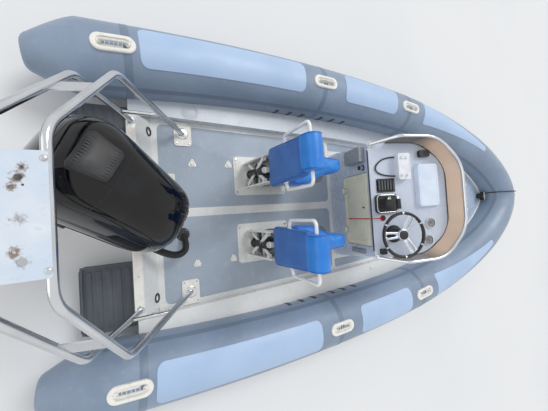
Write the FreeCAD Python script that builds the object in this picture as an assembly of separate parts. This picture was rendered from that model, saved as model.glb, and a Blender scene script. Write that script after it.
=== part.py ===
import FreeCAD, Part
import math
import os

V = FreeCAD.Vector

# Rigid inflatable boat with twin jockey seats, console, stern arch and outboard.
# Millimetres, +X to the bow, +Y to port, +Z up.
# The origin is on the waterline at the aft top edge of the transom.

# Hull and inflatable collar
SOLE_Z = 170.0            # walking surface of the cockpit
SOLE_T = 15.0             # sole panel
LEDGE_Z = 250.0           # side ledges beside the cockpit
TRANSOM_Z = 330.0         # top of the transom
TRANSOM_T = 62.0          # thickness at the top
TRANSOM_FOOT_X = 172.0    # where the sloped inner face meets the sole
TRANSOM_HALF = 700.0
TRANSOM_RAKE = 14.0       # degrees, bottom forward
BOW_DECK_X = 3720.0       # aft face of the bow locker
BOW_DECK_Z = 420.0
LOCKER_WALL = 16.0
SCUPPER_R = 20.0
SCUPPER_Y = 620.0
FIT = 0.3                 # seating gap between separate mouldings
RUN = 5.0                 # running gap of moving panels

# Collar stations: x, y, z of the tube centre, tube radius
COLLAR = [
    (-240, 1040, 290, 235),
    (400, 1085, 292, 235),
    (1450, 1098, 313, 235),
    (2300, 1050, 347, 232),
    (3100, 935, 394, 225),
    (3850, 705, 451, 218),
    (4400, 400, 500, 214),
    (4672, 0, 528, 212),
]
RING_SPACING = 210.0      # between the sections of the tube
TAIL_CONE_L = 290.0
TAIL_CONE_R = 98.0
TAIL_EDGE_R = 30.0

# Hull sections: x, keel z, chine half-breadth, chine z, side half-breadth, side z
HULL = [
    (0, -230, 790, 45, 880, 250),
    (1500, -230, 800, 50, 895, 250),
    (2800, -220, 720, 75, 830, 252),
    (3700, -160, 500, 130, 640, 262),
    (4250, -20, 250, 230, 380, 330),
    (4600, 215, 40, 330, 90, 400),
]
CHINE_FLAT = 28.0

# Cockpit plan: x, half-breadth between the ledges
COCKPIT = [(0, 735), (1900, 690), (2900, 635), (BOW_DECK_X, 500)]

# Doublers on the tubes: aft x, forward x, taper of the forward end
DOUBLERS = [(95, 1400, 0), (1860, 2560, 0), (2990, 4120, 1)]
DOUBLER_T = 4.0
DOUBLER_IN = 118.0        # inboard of the tube centreline
DOUBLER_OUT = 145.0       # outboard of the tube centreline

# Carrying handles on the tubes
HANDLE_X = [-50, 1616, 2760]
HANDLE_L = 250.0
HANDLE_W = 105.0
HANDLE_RISE = 12.0
HANDLE_PITS = (150.0, 30.0)
GRIP_R = 9.0

# Stern arch of bent tube: front and rear hoop run foot, shoulder, bend
ARCH_R = 19.0
BRACE_R = 12.5
FRONT_HOOP = [(419, 624, SOLE_Z - 9), (-55, 692, 905), (-275, 300, 1256)]
REAR_HOOP = [(41, 650, TRANSOM_Z - 22), (-230, 656, 905), (-450, 300, 1256)]
SHOULDER_BEND = 110.0
CROWN_BEND = 140.0
BRACE_Z = 480.0
ARCH_PLATE_T = 8.0
ARCH_PLATE_L = 420.0
FOOT_PAD = (134.0, 190.0, 12.0)

# Holes of the arch plate: x, y, radius
ARCH_HOLES = [
    (-346, 121, 11), (-363, 91, 6), (-335, 154, 4), (-335, 97, 4),
    (-346, -12, 5), (-368, -12, 5), (-363, -115, 6), (-344, -148, 14),
]

# Twin suspension seats
SEAT_Y = 295.0
SEAT_BASE = (823.0, 1330.0, 340.0, 12.0)
SUSPENSION_X = (915.0, 1003.0)
SUSPENSION_TOP = 600.0
POD_TOP = 640.0
CUSHION_TOP = 820.0
CUSHION_NOSE_X = 1487.0
BACK_TOP = 1074.0
BOLSTER = (927.0, 1150.0, 223.0)
SEAT_PIPE_R = 11.0

# Console: bottom and top outline, x and half-breadth
CONSOLE_BOTTOM = [(1915, 535), (2380, 545), (2600, 330)]
CONSOLE_TOP = [(1704, 455), (2130, 480), (2365, 300)]
CONSOLE_WALL = 14.0
DASH_Z = 880.0            # height of the dash at its aft edge
DASH_PITCH = 20.0         # degrees, rising forward
DOOR_Y = (-370.0, 235.0)
DOOR_Z = (455.0, 850.0)
DOOR_T = 16.0
HELM_Y = -278.0
WHEEL_R = 180.0
WHEEL_RIM_R = 13.0
WHEEL_LIFT = 138.0
HELM_BASE_H = 92.0
RAIL_R = 12.5
RAIL_PITCH = 17.1

# Bow locker lid
LID_X = (3840.0, 4080.0)
LID_HALF = 298.0
LID_T = 14.0

# Outboard, drawn upright about its tilt pin, then steered and tilted to rest
PIVOT = V(-30, 0, 365)
SWIVEL_X = -75.0
STEER_REST = -33.0
TILT_REST = 27.0
PIN_R = 12.0
KING_R = 22.0
PROP_Z = -735.0
PROP_R = 165.0
PROP_X = -392.0
GEARCASE_R = 54.0

# Cords and hoses
HOSE_R = 25.0
GLAND = (110.0, -95.0, 128.0)   # hose socket of the motor, upright frame
GROMMET = (367.0, -171.0)
MIC_CORD_R = 6.0
LANYARD_R = 5.0
ROPE_R = 6.0
ROPE_TURNS = 3
BOW_PLATE_T = 4.0
POST_X = 4385.0
POST_R = 15.0
STOP_SWITCH = (1792.0, -145.0)

os.makedirs("parts", exist_ok=True)


# General shapes

def save(name, shape):
    """Write one sub-part."""
    shape.exportStep("parts/%s.step" % name)


def fuse(shapes):
    """Join solids into one clean shape."""
    whole = shapes[0]
    if len(shapes) > 1:
        whole = shapes[0].multiFuse(shapes[1:])
    return whole.removeSplitter()


def box(x, y, z):
    """Box from three (low, high) pairs."""
    corner = V(x[0], y[0], z[0])
    return Part.makeBox(x[1] - x[0], y[1] - y[0], z[1] - z[0], corner)


def rod(start, end, radius):
    """Round bar between two points."""
    a = V(*start)
    b = V(*end)
    return Part.makeCylinder(radius, (b - a).Length, a, b - a)


def outline(points):
    """Closed wire through (x, y, z) points."""
    corners = [V(*p) for p in points]
    return Part.makePolygon(corners + [corners[0]])


def profile(points, y0, y1):
    """Solid from an (x, z) outline pulled along Y."""
    face = Part.Face(outline([(x, y0, z) for x, z in points]))
    return face.extrude(V(0, y1 - y0, 0))


def rounded(points, radii):
    """Closed wire in XY with each corner rounded to its own radius."""
    count = len(points)
    if not isinstance(radii, (list, tuple)):
        radii = [radii] * count
    edges = []
    ends = []
    for i in range(count):
        here = V(points[i][0], points[i][1], 0)
        back = (V(points[i - 1][0], points[i - 1][1], 0) - here).normalize()
        ahead = points[(i + 1) % count]
        on = (V(ahead[0], ahead[1], 0) - here).normalize()
        half = back.getAngle(on) / 2
        reach = radii[i] / math.tan(half)
        middle = (back + on).normalize() * (radii[i] / math.sin(half) - radii[i])
        ends.append((here + back * reach, here + middle, here + on * reach))
    for i in range(count):
        start, middle, end = ends[i]
        edges.append(Part.Arc(start, middle, end).toShape())
        edges.append(Part.makeLine(end, ends[(i + 1) % count][0]))
    return Part.Wire(edges)


def plate(points, radii, z0, z1):
    """Flat plate with rounded corners."""
    wire = rounded(points, radii)
    wire.translate(V(0, 0, z0))
    return Part.Face(wire).extrude(V(0, 0, z1 - z0))


def mirrored(points):
    """Half outline of (x, half-breadth) closed across the centreline."""
    return [(x, -y) for x, y in points] + [(x, y) for x, y in reversed(points)]


def bent(points, radii):
    """Wire of straight runs joined by tangent arcs."""
    spots = [V(*p) for p in points]
    if not isinstance(radii, (list, tuple)):
        radii = [radii] * (len(spots) - 2)
    edges = []
    start = spots[0]
    for i in range(1, len(spots) - 1):
        back = (spots[i - 1] - spots[i]).normalize()
        on = (spots[i + 1] - spots[i]).normalize()
        half = back.getAngle(on) / 2
        reach = radii[i - 1] / math.tan(half)
        lift = radii[i - 1] / math.sin(half) - radii[i - 1]
        first = spots[i] + back * reach
        last = spots[i] + on * reach
        middle = spots[i] + (back + on).normalize() * lift
        edges.append(Part.makeLine(start, first))
        edges.append(Part.Arc(first, middle, last).toShape())
        start = last
    edges.append(Part.makeLine(start, spots[-1]))
    return Part.Wire(edges)


def pipe(points, radius, bend):
    """Round tube or cord along a bent route."""
    path = bent(points, bend)
    ahead = V(*points[1]) - V(*points[0])
    ring = Part.Wire(Part.Circle(V(*points[0]), ahead, radius).toShape())
    return path.makePipeShell([ring], True, False)


def cord(points, radius):
    """Cord tube whose arcs are as large as its runs allow."""
    spots = [V(*p) for p in points]
    radii = []
    for a, b, c in zip(spots, spots[1:], spots[2:]):
        turn = math.pi - (a - b).getAngle(c - b)
        radii.append(0.45 * min((b - a).Length, (c - b).Length) / math.tan(turn / 2))
    print("cord radii", [round(r) for r in radii])
    return pipe(points, radius, radii)


def port_and_starboard(shape):
    """The shape and its mirror image across the centreline."""
    return [shape, shape.mirror(V(0, 0, 0), V(0, 1, 0))]


def on_dash(shape, x, y):
    """Set a piece drawn on XY onto the sloping dash at x, y."""
    spot = V(x, y, dash_height(x))
    turn = FreeCAD.Rotation(V(0, 1, 0), -DASH_PITCH)
    placed = shape.copy()
    placed.Placement = FreeCAD.Placement(spot, turn).multiply(shape.Placement)
    return placed


def dash_height(x):
    """Height of the dash surface at x."""
    return DASH_Z + (x - CONSOLE_TOP[0][0]) * math.tan(math.radians(DASH_PITCH))


# Inflatable collar

def collar_curve():
    """Centreline of the whole collar, port tail round the bow to starboard."""
    port = [V(x, y, z) for x, y, z, r in COLLAR]
    starboard = [V(x, -y, z) for x, y, z, r in reversed(COLLAR[:-1])]
    curve = Part.BSplineCurve()
    curve.interpolate(port + starboard)
    return curve


CENTRELINE = collar_curve()


def collar_at(x):
    """Tube centre, direction and radius at x on the port side."""
    low = CENTRELINE.FirstParameter
    high = (low + CENTRELINE.LastParameter) / 2
    for _ in range(40):
        middle = (low + high) / 2
        if CENTRELINE.value(middle).x < x:
            low = middle
        else:
            high = middle
    radius = COLLAR[-1][3]
    for a, b in zip(COLLAR, COLLAR[1:]):
        if a[0] <= x <= b[0]:
            radius = a[3] + (b[3] - a[3]) * (x - a[0]) / (b[0] - a[0])
    return CENTRELINE.value(low), CENTRELINE.tangent(low)[0], radius


def ring_at(centre, ahead, radius):
    """Tube section whose seam lies on the outer side."""
    out = V(0, 0, 1).cross(ahead)
    turn = FreeCAD.Rotation(out, V(), ahead, "ZXY")
    circle = Part.Circle(V(0, 0, 0), V(0, 0, 1), radius).toShape()
    circle.Placement = FreeCAD.Placement(centre, turn)
    return Part.Wire(circle)


def half_tube(extra):
    """Port half of the tube, grown by extra, up to the bow plane."""
    rings = []
    for a, b in zip(COLLAR, COLLAR[1:]):
        first = CENTRELINE.parameter(V(*a[:3]))
        last = CENTRELINE.parameter(V(*b[:3]))
        steps = math.ceil((V(*b[:3]) - V(*a[:3])).Length / RING_SPACING)
        for k in range(steps):
            at = first + (last - first) * k / steps
            radius = a[3] + (b[3] - a[3]) * k / steps
            rings.append(ring_at(CENTRELINE.value(at), CENTRELINE.tangent(at)[0], radius + extra))
    x, y, z, r = COLLAR[-1]
    rings.append(ring_at(V(x, y, z), V(0, -1, 0), r + extra))
    return Part.makeLoft(rings, True, True)


def tail_cone(extra):
    """Tapered end of the port tube with a rounded rim."""
    x, y, z, r = COLLAR[0]
    _, ahead, _ = collar_at(x)
    end = V(x, y, z) - ahead * TAIL_CONE_L
    rings = [ring_at(V(x, y, z), ahead, r + extra)]
    rings.append(ring_at(end, ahead, TAIL_CONE_R + extra))
    cone = Part.makeLoft(rings, True, True)
    rims = [e for e in cone.Edges if (e.CenterOfMass - end).Length < 5]
    return cone.makeFillet(TAIL_EDGE_R, [e for e in rims if len(e.Vertexes) == 1])


def make_collar():
    """Both tubes, joined at the bow."""
    half = fuse([half_tube(0), tail_cone(0)])
    return fuse(port_and_starboard(half))


def doubler_plan(x0, x1, taper):
    """Plan outline of one doubler that follows the tube."""
    def side(x, offset):
        centre, ahead, _ = collar_at(x)
        out = V(0, 0, 1).cross(ahead).normalize()
        spot = centre + out * offset
        return V(spot.x, spot.y, 0)
    xm = (x0 + x1) / 2
    end_in = -DOUBLER_IN * (1 - 0.75 * taper)
    end_out = DOUBLER_OUT * (1 - 0.75 * taper)
    a, b, c = side(x0, -DOUBLER_IN), side(xm, -DOUBLER_IN), side(x1, end_in)
    d, e, f = side(x1, end_out), side(xm, DOUBLER_OUT), side(x0, DOUBLER_OUT)
    edges = [Part.Arc(a, b, c).toShape(), Part.makeLine(c, d)]
    edges += [Part.Arc(d, e, f).toShape(), Part.makeLine(f, a)]
    return Part.Face(Part.Wire(edges))


def make_doublers(collar):
    """Raised pale panels on top of both tubes."""
    skin = half_tube(DOUBLER_T).cut(collar)
    pieces = []
    for x0, x1, taper in DOUBLERS:
        block = doubler_plan(x0, x1, taper).extrude(V(0, 0, 700))
        block.translate(V(0, 0, 350))
        upright = [e for e in block.Edges if abs(e.Vertexes[0].Z - e.Vertexes[-1].Z) > 600]
        block = block.makeFillet(26 if taper else 50, upright)
        pieces += port_and_starboard(skin.common(block))
    return Part.makeCompound(pieces)


def make_tube_handle():
    """Moulded carrying handle, drawn along X on a tube crown at z = 0."""
    half_l = HANDLE_L / 2
    half_w = HANDLE_W / 2
    corners = [(-half_l, -half_w), (half_l, -half_w), (half_l, half_w), (-half_l, half_w)]
    base = plate(corners, half_w - 1, -40, HANDLE_RISE)
    pit_l, pit_w = HANDLE_PITS
    for s in (-1, 1):
        y0 = s * (GRIP_R + 2 + pit_w / 2)
        pit = [(-pit_l / 2, y0 - 12), (pit_l / 2, y0 - 12), (pit_l / 2, y0 + 12), (-pit_l / 2, y0 + 12)]
        base = base.cut(plate(pit, 11, -60, 60))
    return base


def grip_bar():
    """Raised finger loop over the handle."""
    route = [(-72, 0, 0), (-60, 0, 34), (60, 0, 34), (72, 0, 0)]
    return pipe(route, GRIP_R, 18)


def make_tube_handles(collar):
    """Three handles on each tube."""
    pieces = []
    for x in HANDLE_X:
        centre, ahead, radius = collar_at(x)
        up = ahead.cross(V(0, 0, 1).cross(ahead)).normalize()
        turn = FreeCAD.Rotation(ahead, V(), up, "ZXY")
        spot = FreeCAD.Placement(centre + up * (radius + 1), turn)
        handle = fuse([make_tube_handle(), grip_bar()])
        handle.Placement = spot
        pieces += port_and_starboard(handle.cut(collar))
    return Part.makeCompound(pieces)


# Hull mouldings

def hull_section(x, keel, chine_y, chine_z, side_y, side_z):
    """Closed V section with a flat chine."""
    flat = chine_y - CHINE_FLAT
    half = [(0, keel), (flat, chine_z), (chine_y, chine_z), (side_y, side_z)]
    port = [(x, y, z) for y, z in half]
    starboard = [(x, -y, z) for y, z in reversed(half[1:])]
    return outline(port + starboard)


def make_hull_form(collar):
    """Whole V form up to the ledges, its stern raked, cut under the tubes."""
    form = Part.makeLoft([hull_section(*row) for row in HULL], True, True)
    rake = math.tan(math.radians(TRANSOM_RAKE))
    foot = (TRANSOM_Z + 300) * rake
    wedge = [(-50, TRANSOM_Z), (0, TRANSOM_Z), (foot, -300), (-50, -300)]
    form = form.cut(profile(wedge, -1000, 1000))
    return form.cut(collar)


def cockpit_space(z0, z1):
    """Everything between the ledges."""
    points = mirrored(COCKPIT)
    face = Part.Face(outline([(x, y, z0) for x, y in points]))
    return face.extrude(V(0, 0, z1 - z0))


def make_hull_bottom(form):
    """Planing bottom below the sole, whole at the bow."""
    under = SOLE_Z - SOLE_T
    return form.cut(box((-100, 4150), (-1000, 1000), (under, 500)))


def make_sole():
    """Cockpit sole panel."""
    under = SOLE_Z - SOLE_T
    panel = cockpit_space(under, SOLE_Z)
    return panel.common(box((TRANSOM_FOOT_X, BOW_DECK_X), (-900, 900), (0, 400)))


def make_ledges(form):
    """Side ledge mouldings, port and starboard."""
    under = SOLE_Z - SOLE_T
    band = form.common(box((-100, BOW_DECK_X), (-1000, 1000), (under, 400)))
    band = band.cut(cockpit_space(0, 500))
    solids = sorted(band.Solids, key=lambda s: s.Volume)[-2:]
    return sorted(solids, key=lambda s: -s.CenterOfMass.y)


def make_transom(collar):
    """Transom with a sloped inner face and two scuppers."""
    under = SOLE_Z - SOLE_T
    rake = math.tan(math.radians(TRANSOM_RAKE))
    foot = (TRANSOM_Z - under) * rake
    shape = [(0, TRANSOM_Z), (TRANSOM_T, TRANSOM_Z), (TRANSOM_FOOT_X, SOLE_Z)]
    shape += [(TRANSOM_FOOT_X, under), (foot, under)]
    block = profile(shape, -TRANSOM_HALF, TRANSOM_HALF)
    drain_z = SOLE_Z + SCUPPER_R + 6
    for y in (-SCUPPER_Y, SCUPPER_Y):
        block = block.cut(rod((-50, y, drain_z), (300, y, drain_z), SCUPPER_R))
    return block.cut(collar)


def make_bow_deck(form, collar):
    """Hollow bow locker moulding with a hatch opening and hinge ears."""
    under = SOLE_Z - SOLE_T
    plan = [(BOW_DECK_X, 640), (4100, 440), (4400, 230), (4640, 60)]
    top = Part.Face(outline([(x, y, LEDGE_Z) for x, y in mirrored(plan)]))
    upper = top.extrude(V(0, 0, BOW_DECK_Z - LEDGE_Z)).cut(form).cut(collar)
    lower = form.common(box((BOW_DECK_X, 4150), (-900, 900), (under, 400)))
    body = fuse([upper, lower])
    body = max(body.Solids, key=lambda s: s.Volume)
    wall = LOCKER_WALL
    inside = [(BOW_DECK_X + wall, 440), (4100 - wall, 285)]
    room = Part.Face(outline([(x, y, SOLE_Z) for x, y in mirrored(inside)]))
    body = body.cut(room.extrude(V(0, 0, BOW_DECK_Z - wall - SOLE_Z)))
    lip = 18.0
    x0, x1 = LID_X
    hole = mirrored([(x0 + lip, LID_HALF - 50), (x1 - lip, LID_HALF - 50)])
    body = body.cut(plate(hole, 20, SOLE_Z + 60, BOW_DECK_Z + 50))
    ears = [body]
    for y in LID_HINGES:
        for s in (-1, 1):
            ears.append(lid_ear(y + s * 26))
        ears.append(rod((LID_AXIS[0], y - 30, LID_AXIS[1]), (LID_AXIS[0], y + 30, LID_AXIS[1]), 3))
    return fuse(ears)


LID_AXIS = (LID_X[1] + 14, BOW_DECK_Z + 12)
LID_HINGES = (-170.0, 170.0)


def lid_ear(y):
    """One hinge ear on the bow deck."""
    x, z = LID_AXIS
    block = box((x - 6, x + 6), (y - 4, y + 4), (BOW_DECK_Z, z))
    return block.fuse(rod((x, y - 4, z), (x, y + 4, z), 6))


def make_lid():
    """Locker lid with hinge barrels on its forward edge."""
    x0, x1 = LID_X
    corners = mirrored([(x0, LID_HALF), (x1, LID_HALF)])
    low = BOW_DECK_Z + FIT
    lid = plate(corners, 30, low, low + LID_T)
    x, z = LID_AXIS
    pieces = [lid]
    bores = []
    for y in LID_HINGES:
        pieces.append(rod((x, y - 20, z), (x, y + 20, z), 6))
        pieces.append(box((x1 - 10, x), (y - 20, y + 20), (z - 4, z + 2)))
        bores.append(rod((x, y - 40, z), (x, y + 40, z), 3.4))
    return fuse(pieces).cut(Part.makeCompound(bores))


def make_bow_plate(collar):
    """Wear plate wrapped over the nose of the tube."""
    skin = fuse(port_and_starboard(half_tube(BOW_PLATE_T))).cut(collar)
    return skin.common(box((4740, 4960), (-60, 60), (540, 760)))


def make_bow_post():
    """Mooring post with a cross pin on the bow deck."""
    x = POST_X
    pieces = [Part.makeCylinder(35, 8, V(x, 0, BOW_DECK_Z))]
    pieces.append(Part.makeCylinder(POST_R, 115, V(x, 0, BOW_DECK_Z)))
    pieces.append(rod((x, -45, BOW_DECK_Z + 95), (x, 45, BOW_DECK_Z + 95), 6))
    return fuse(pieces)


def make_bow_eye():
    """Towing eye on the stem."""
    x, z = BOW_EYE
    eye = rod((x, -7, z), (x, 7, z), 29)
    pad = rod((x - 61, 0, z), (x - 25, 0, z), 16)
    return fuse([eye, pad]).cut(rod((x, -20, z), (x, 20, z), 15))


BOW_EYE = (4545.0, 150.0)


def make_stern_steps(form, collar):
    """Boarding steps either side of the outboard, on ribs under the slab."""
    slab_z = 150.0
    reach = -320.0
    rake_x = (TRANSOM_Z - slab_z) * math.tan(math.radians(TRANSOM_RAKE))
    corners = [(reach, 335), (rake_x, 335), (rake_x, 800), (reach, 800)]
    slab = plate(corners, [40, 2, 2, 40], slab_z - 26, slab_z)
    pieces = [slab]
    for y in (380, 560, 740):
        rib = [(reach + 60, slab_z - 20), (rake_x + 20, slab_z - 20), (rake_x + 35, slab_z - 120)]
        pieces.append(profile(rib, y - 8, y + 8))
    pieces.append(box((reach + 8, rake_x - 30), (337, 349), (slab_z - 1, slab_z + 14)))
    pieces.append(box((reach + 8, reach + 20), (349, 790), (slab_z - 1, slab_z + 14)))
    step = fuse(pieces).cut(stern_keepout()).cut(half_tube(6)).cut(tail_cone(6))
    return Part.makeCompound(port_and_starboard(max(step.Solids, key=lambda s: s.Volume)))


def stern_keepout():
    """Space forward of the raked stern face."""
    rake = math.tan(math.radians(TRANSOM_RAKE))
    face = [(0, TRANSOM_Z), ((TRANSOM_Z + 300) * rake, -300), (500, -300), (500, TRANSOM_Z)]
    return profile(face, -1000, 1000)


# Stern arch

def hoop(points):
    """One arch hoop from the port foot to the starboard foot."""
    port = [tuple(p) for p in points]
    starboard = [(x, -y, z) for x, y, z in reversed(port)]
    bends = [SHOULDER_BEND, CROWN_BEND, CROWN_BEND, SHOULDER_BEND]
    return pipe(port + starboard, ARCH_R, bends)


def along(a, b, share):
    """Point part of the way from a to b."""
    return tuple(p + (q - p) * share for p, q in zip(a, b))


def make_arch():
    """Two hoops braced low down on each side."""
    pieces = [hoop(FRONT_HOOP), hoop(REAR_HOOP)]
    foot, shoulder = FRONT_HOOP[:2]
    front = along(foot, shoulder, (BRACE_Z - foot[2]) / (shoulder[2] - foot[2]))
    foot, shoulder = REAR_HOOP[:2]
    rear = along(foot, shoulder, (BRACE_Z - foot[2]) / (shoulder[2] - foot[2]))
    pieces += port_and_starboard(rod(front, rear, BRACE_R))
    frame = fuse(pieces)
    pad_top = SOLE_Z + FOOT_PAD[2] + FIT
    frame = frame.cut(box((300, 520), (-800, 800), (100, pad_top)))
    return frame.cut(box((-60, 120), (-800, 800), (200, TRANSOM_Z + FIT)))


def make_side_plates(arch):
    """Flat plates between the hoops below the crown."""
    corners = []
    for points, shares in ((FRONT_HOOP, (0.26, 0.42)), (REAR_HOOP, (0.42, 0.26))):
        corners += [along(points[1], points[2], s) for s in shares]
    face = Part.Face(outline([along(c, c, 0) for c in flat(corners)]))
    solid = face.extrude(face.normalAt(0, 0) * 6)
    solid = max(solid.cut(arch).Solids, key=lambda s: s.Volume)
    return Part.makeCompound(port_and_starboard(solid))


def flat(corners):
    """Move the fourth corner into the plane of the first three."""
    a, b, c, d = [V(*p) for p in corners]
    normal = (b - a).cross(c - a).normalize()
    d = d - normal * (d - a).dot(normal)
    return [(p.x, p.y, p.z) for p in (a, b, c, d)]


def make_top_plate():
    """Drilled mounting plate on both crown bars."""
    low = FRONT_HOOP[2][2] + ARCH_R + FIT
    x0 = REAR_HOOP[2][0] - ARCH_R - 9
    x1 = FRONT_HOOP[2][0] + ARCH_R - 12
    half = ARCH_PLATE_L / 2
    body = plate([(x0, -half), (x1, -half), (x1, half), (x0, half)], 12, low, low + ARCH_PLATE_T)
    for x, y, r in ARCH_HOLES:
        body = body.cut(Part.makeCylinder(r, 40, V(x, y, low - 10)))
    return body


# Deck fittings

def make_deck_fittings():
    """Screwed lugs, an access plate and the arch foot pads."""
    pieces = []
    for x, y in ((470, 395), (778, 395), (470, -410), (778, -410)):
        lug = plate([(x - 42, y - 28), (x + 42, y - 28), (x, y + 44)], 12, SOLE_Z, SOLE_Z + 7)
        pieces.append(lug.fuse(Part.makeCylinder(13, 16, V(x, y - 4, SOLE_Z))))
    cover = [(236, 216), (330, 216), (330, 308), (236, 308)]
    pieces.append(plate(cover, 12, SOLE_Z, SOLE_Z + 5))
    foot_x, foot_y = 405, 626
    length, width, thick = FOOT_PAD
    x0 = foot_x - length / 2
    y0 = foot_y - width / 2
    pad = plate([(x0, y0), (x0 + length, y0), (x0 + length, y0 + width), (x0, y0 + width)],
                24, SOLE_Z, SOLE_Z + thick)
    pieces += port_and_starboard(pad)
    return Part.makeCompound(pieces)


# Seats, drawn on the centreline and set to each side

def both_seats(shape):
    """One copy at each seat."""
    port = shape.copy()
    port.translate(V(0, SEAT_Y, 0))
    starboard = shape.copy()
    starboard.translate(V(0, -SEAT_Y, 0))
    return port, starboard


def seat_base():
    """Mounting plate with a flat bar across it."""
    x0, x1, width, thick = SEAT_BASE
    half = width / 2
    base = plate([(x0, -half), (x1, -half), (x1, half), (x0, half)], 30, SOLE_Z, SOLE_Z + thick)
    bar = box((x0 + 18, x0 + 58), (-half + 20, half - 20), (SOLE_Z + thick, SOLE_Z + thick + 6))
    return fuse([base, bar])


def seat_suspension():
    """Upright frame with crossed links and a coil strut."""
    x0, x1 = SUSPENSION_X
    low = SOLE_Z + SEAT_BASE[3]
    pieces = []
    for s in (-1, 1):
        y0, y1 = sorted((s * 98, s * 110))
        pieces.append(box((x0, x1), (y0, y1), (low, SUSPENSION_TOP)))
    for z in (low + 20, 330, SUSPENSION_TOP - 30):
        pieces.append(box((x1 - 22, x1), (-98, 98), (z, z + 30)))
    middle = (x0 + x1) / 2 - 8
    pieces.append(rod((middle, 0, low), (middle, 0, low + 60), 14))
    pieces.append(rod((middle, 0, low + 60), (middle, 0, 520), 26))
    pieces.append(box((middle, x1 - 10), (-20, 20), (505, 540)))
    pieces.append(box((middle - 20, x1), (-34, 34), (low, low + 14)))
    for s in (-1, 1):
        link = box((x0 + 8, x0 + 16), (-14, 14), (-170, 170))
        link.rotate(V(0, 0, 0), V(1, 0, 0), s * 30)
        link.translate(V(s * 6 + 6, 0, 390))
        pieces.append(link.common(box((x0, x1), (-98, 98), (low, SUSPENSION_TOP))))
    for s in (-1, 1):
        pieces.append(box((x0 + 6, x0 + 34), (min(s * 70, s * 98), max(s * 70, s * 98)), (520, 545)))
    return fuse(pieces)


def rounded_box_section(x0, x1, half, r_aft, r_fwd, z):
    """Plan section of a seat part at one height."""
    wire = rounded([(x0, -half), (x1, -half), (x1, half), (x0, half)], [r_aft, r_fwd, r_fwd, r_aft])
    wire.translate(V(0, 0, z))
    return wire


def seat_pod():
    """Moulded pod under the cushion, fixed to the suspension frame."""
    x0 = SUSPENSION_X[1] + FIT
    rows = [(230, 1330, 100), (420, 1392, 122), (POD_TOP, 1425, 118)]
    sections = [rounded_box_section(x0, x1, half, 12, 60, z) for z, x1, half in rows]
    return Part.makeLoft(sections, True, True)


def seat_cushion():
    """Saddle cushion with a waist and a nose that overhangs the pod."""
    x0 = SUSPENSION_X[1] + 8
    plan = mirrored([(x0, 155), (1170, 150), (1330, 70), (CUSHION_NOSE_X, 58)])
    radii = [40, 120, 120, 40, 40, 120, 120, 40]
    body = plate(plan, radii, POD_TOP + FIT, CUSHION_TOP)
    under = [(1432, POD_TOP - 20), (1600, POD_TOP - 20), (1600, 750), (1462, 740)]
    return body.cut(profile(under, -200, 200))


def seat_back():
    """Tapering lower back behind the cushion."""
    x1 = SUSPENSION_X[1]
    x0 = 940.0
    low = rounded_box_section(x0, x1, 150, 20, 20, SUSPENSION_TOP + FIT)
    high = rounded_box_section(x0 - 30, x1 - 30, 128, 20, 20, BACK_TOP)
    return Part.makeLoft([low, high], True, True)


def seat_bolster():
    """Roll across the top of the back."""
    x, z, length = BOLSTER
    half = length / 2
    outline_xz = rounded([(-61, -75), (61, -75), (61, 75), (-61, 75)], 56)
    face = Part.Face(outline_xz)
    face.rotate(V(0, 0, 0), V(1, 0, 0), 90)
    face.translate(V(x, half, z))
    roll = face.extrude(V(0, -length, 0))
    return roll.cut(seat_handle(0.4))


def seat_handle(extra):
    """Pipe that curls out from the back and carries the roll."""
    x, z, _ = BOLSTER
    half = [(962, 146, 802), (958, 190, 826), (x, 190, z), (x, 60, z)]
    route = half[:3] + [(px, -py, pz) for px, py, pz in reversed(half[:3])]
    return pipe(route, SEAT_PIPE_R + extra, [18, 34, 34, 18])


# Console

def console_loft(inset, drop):
    """Console form, shrunk by inset and lowered by drop."""
    low = [(x + (inset if i == 0 else -inset), y - inset) for i, (x, y) in enumerate(CONSOLE_BOTTOM)]
    high = [(x + (inset if i == 0 else -inset), y - inset) for i, (x, y) in enumerate(CONSOLE_TOP)]
    radii = [46, 240, 240]
    radii = [r - inset / 2 for r in radii]
    bottom = rounded(mirrored(low), radii + radii[::-1])
    bottom.translate(V(0, 0, SOLE_Z))
    slope = math.cos(math.radians(DASH_PITCH))
    x0 = CONSOLE_TOP[0][0]
    flat_top = [((x - x0) / slope, y) for x, y in mirrored(high)]
    top = rounded(flat_top, radii + radii[::-1])
    top.rotate(V(0, 0, 0), V(0, 1, 0), -DASH_PITCH)
    top.translate(V(x0, 0, DASH_Z - drop))
    return Part.makeLoft([bottom, top], True, True)


def aft_face_x(z):
    """X of the console's aft face at height z."""
    share = (z - SOLE_Z) / (DASH_Z - SOLE_Z)
    return CONSOLE_BOTTOM[0][0] + (CONSOLE_TOP[0][0] - CONSOLE_BOTTOM[0][0]) * share


FACE_LEAN = math.degrees(math.atan2(CONSOLE_BOTTOM[0][0] - CONSOLE_TOP[0][0], DASH_Z - SOLE_Z))
DOOR_AXIS = (aft_face_x(DOOR_Z[0]) - 12.0, DOOR_Z[0])
DOOR_HINGES = (-250.0, 115.0)


def door_panel(grow, x0, x1):
    """Slab in the console's aft face, leaning with it."""
    y0, y1 = DOOR_Y
    high = (DOOR_Z[1] - DOOR_Z[0]) / math.cos(math.radians(FACE_LEAN))
    corners = [(-grow, y0 - grow), (high + grow, y0 - grow), (high + grow, y1 + grow), (-grow, y1 + grow)]
    panel = plate(corners, [46 + grow, 14 + grow, 14 + grow, 46 + grow], x0, x1)
    panel.rotate(V(0, 0, 0), V(0, 1, 0), -90 - FACE_LEAN)
    panel.translate(V(aft_face_x(DOOR_Z[0]), 0, DOOR_Z[0]))
    return panel


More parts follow.
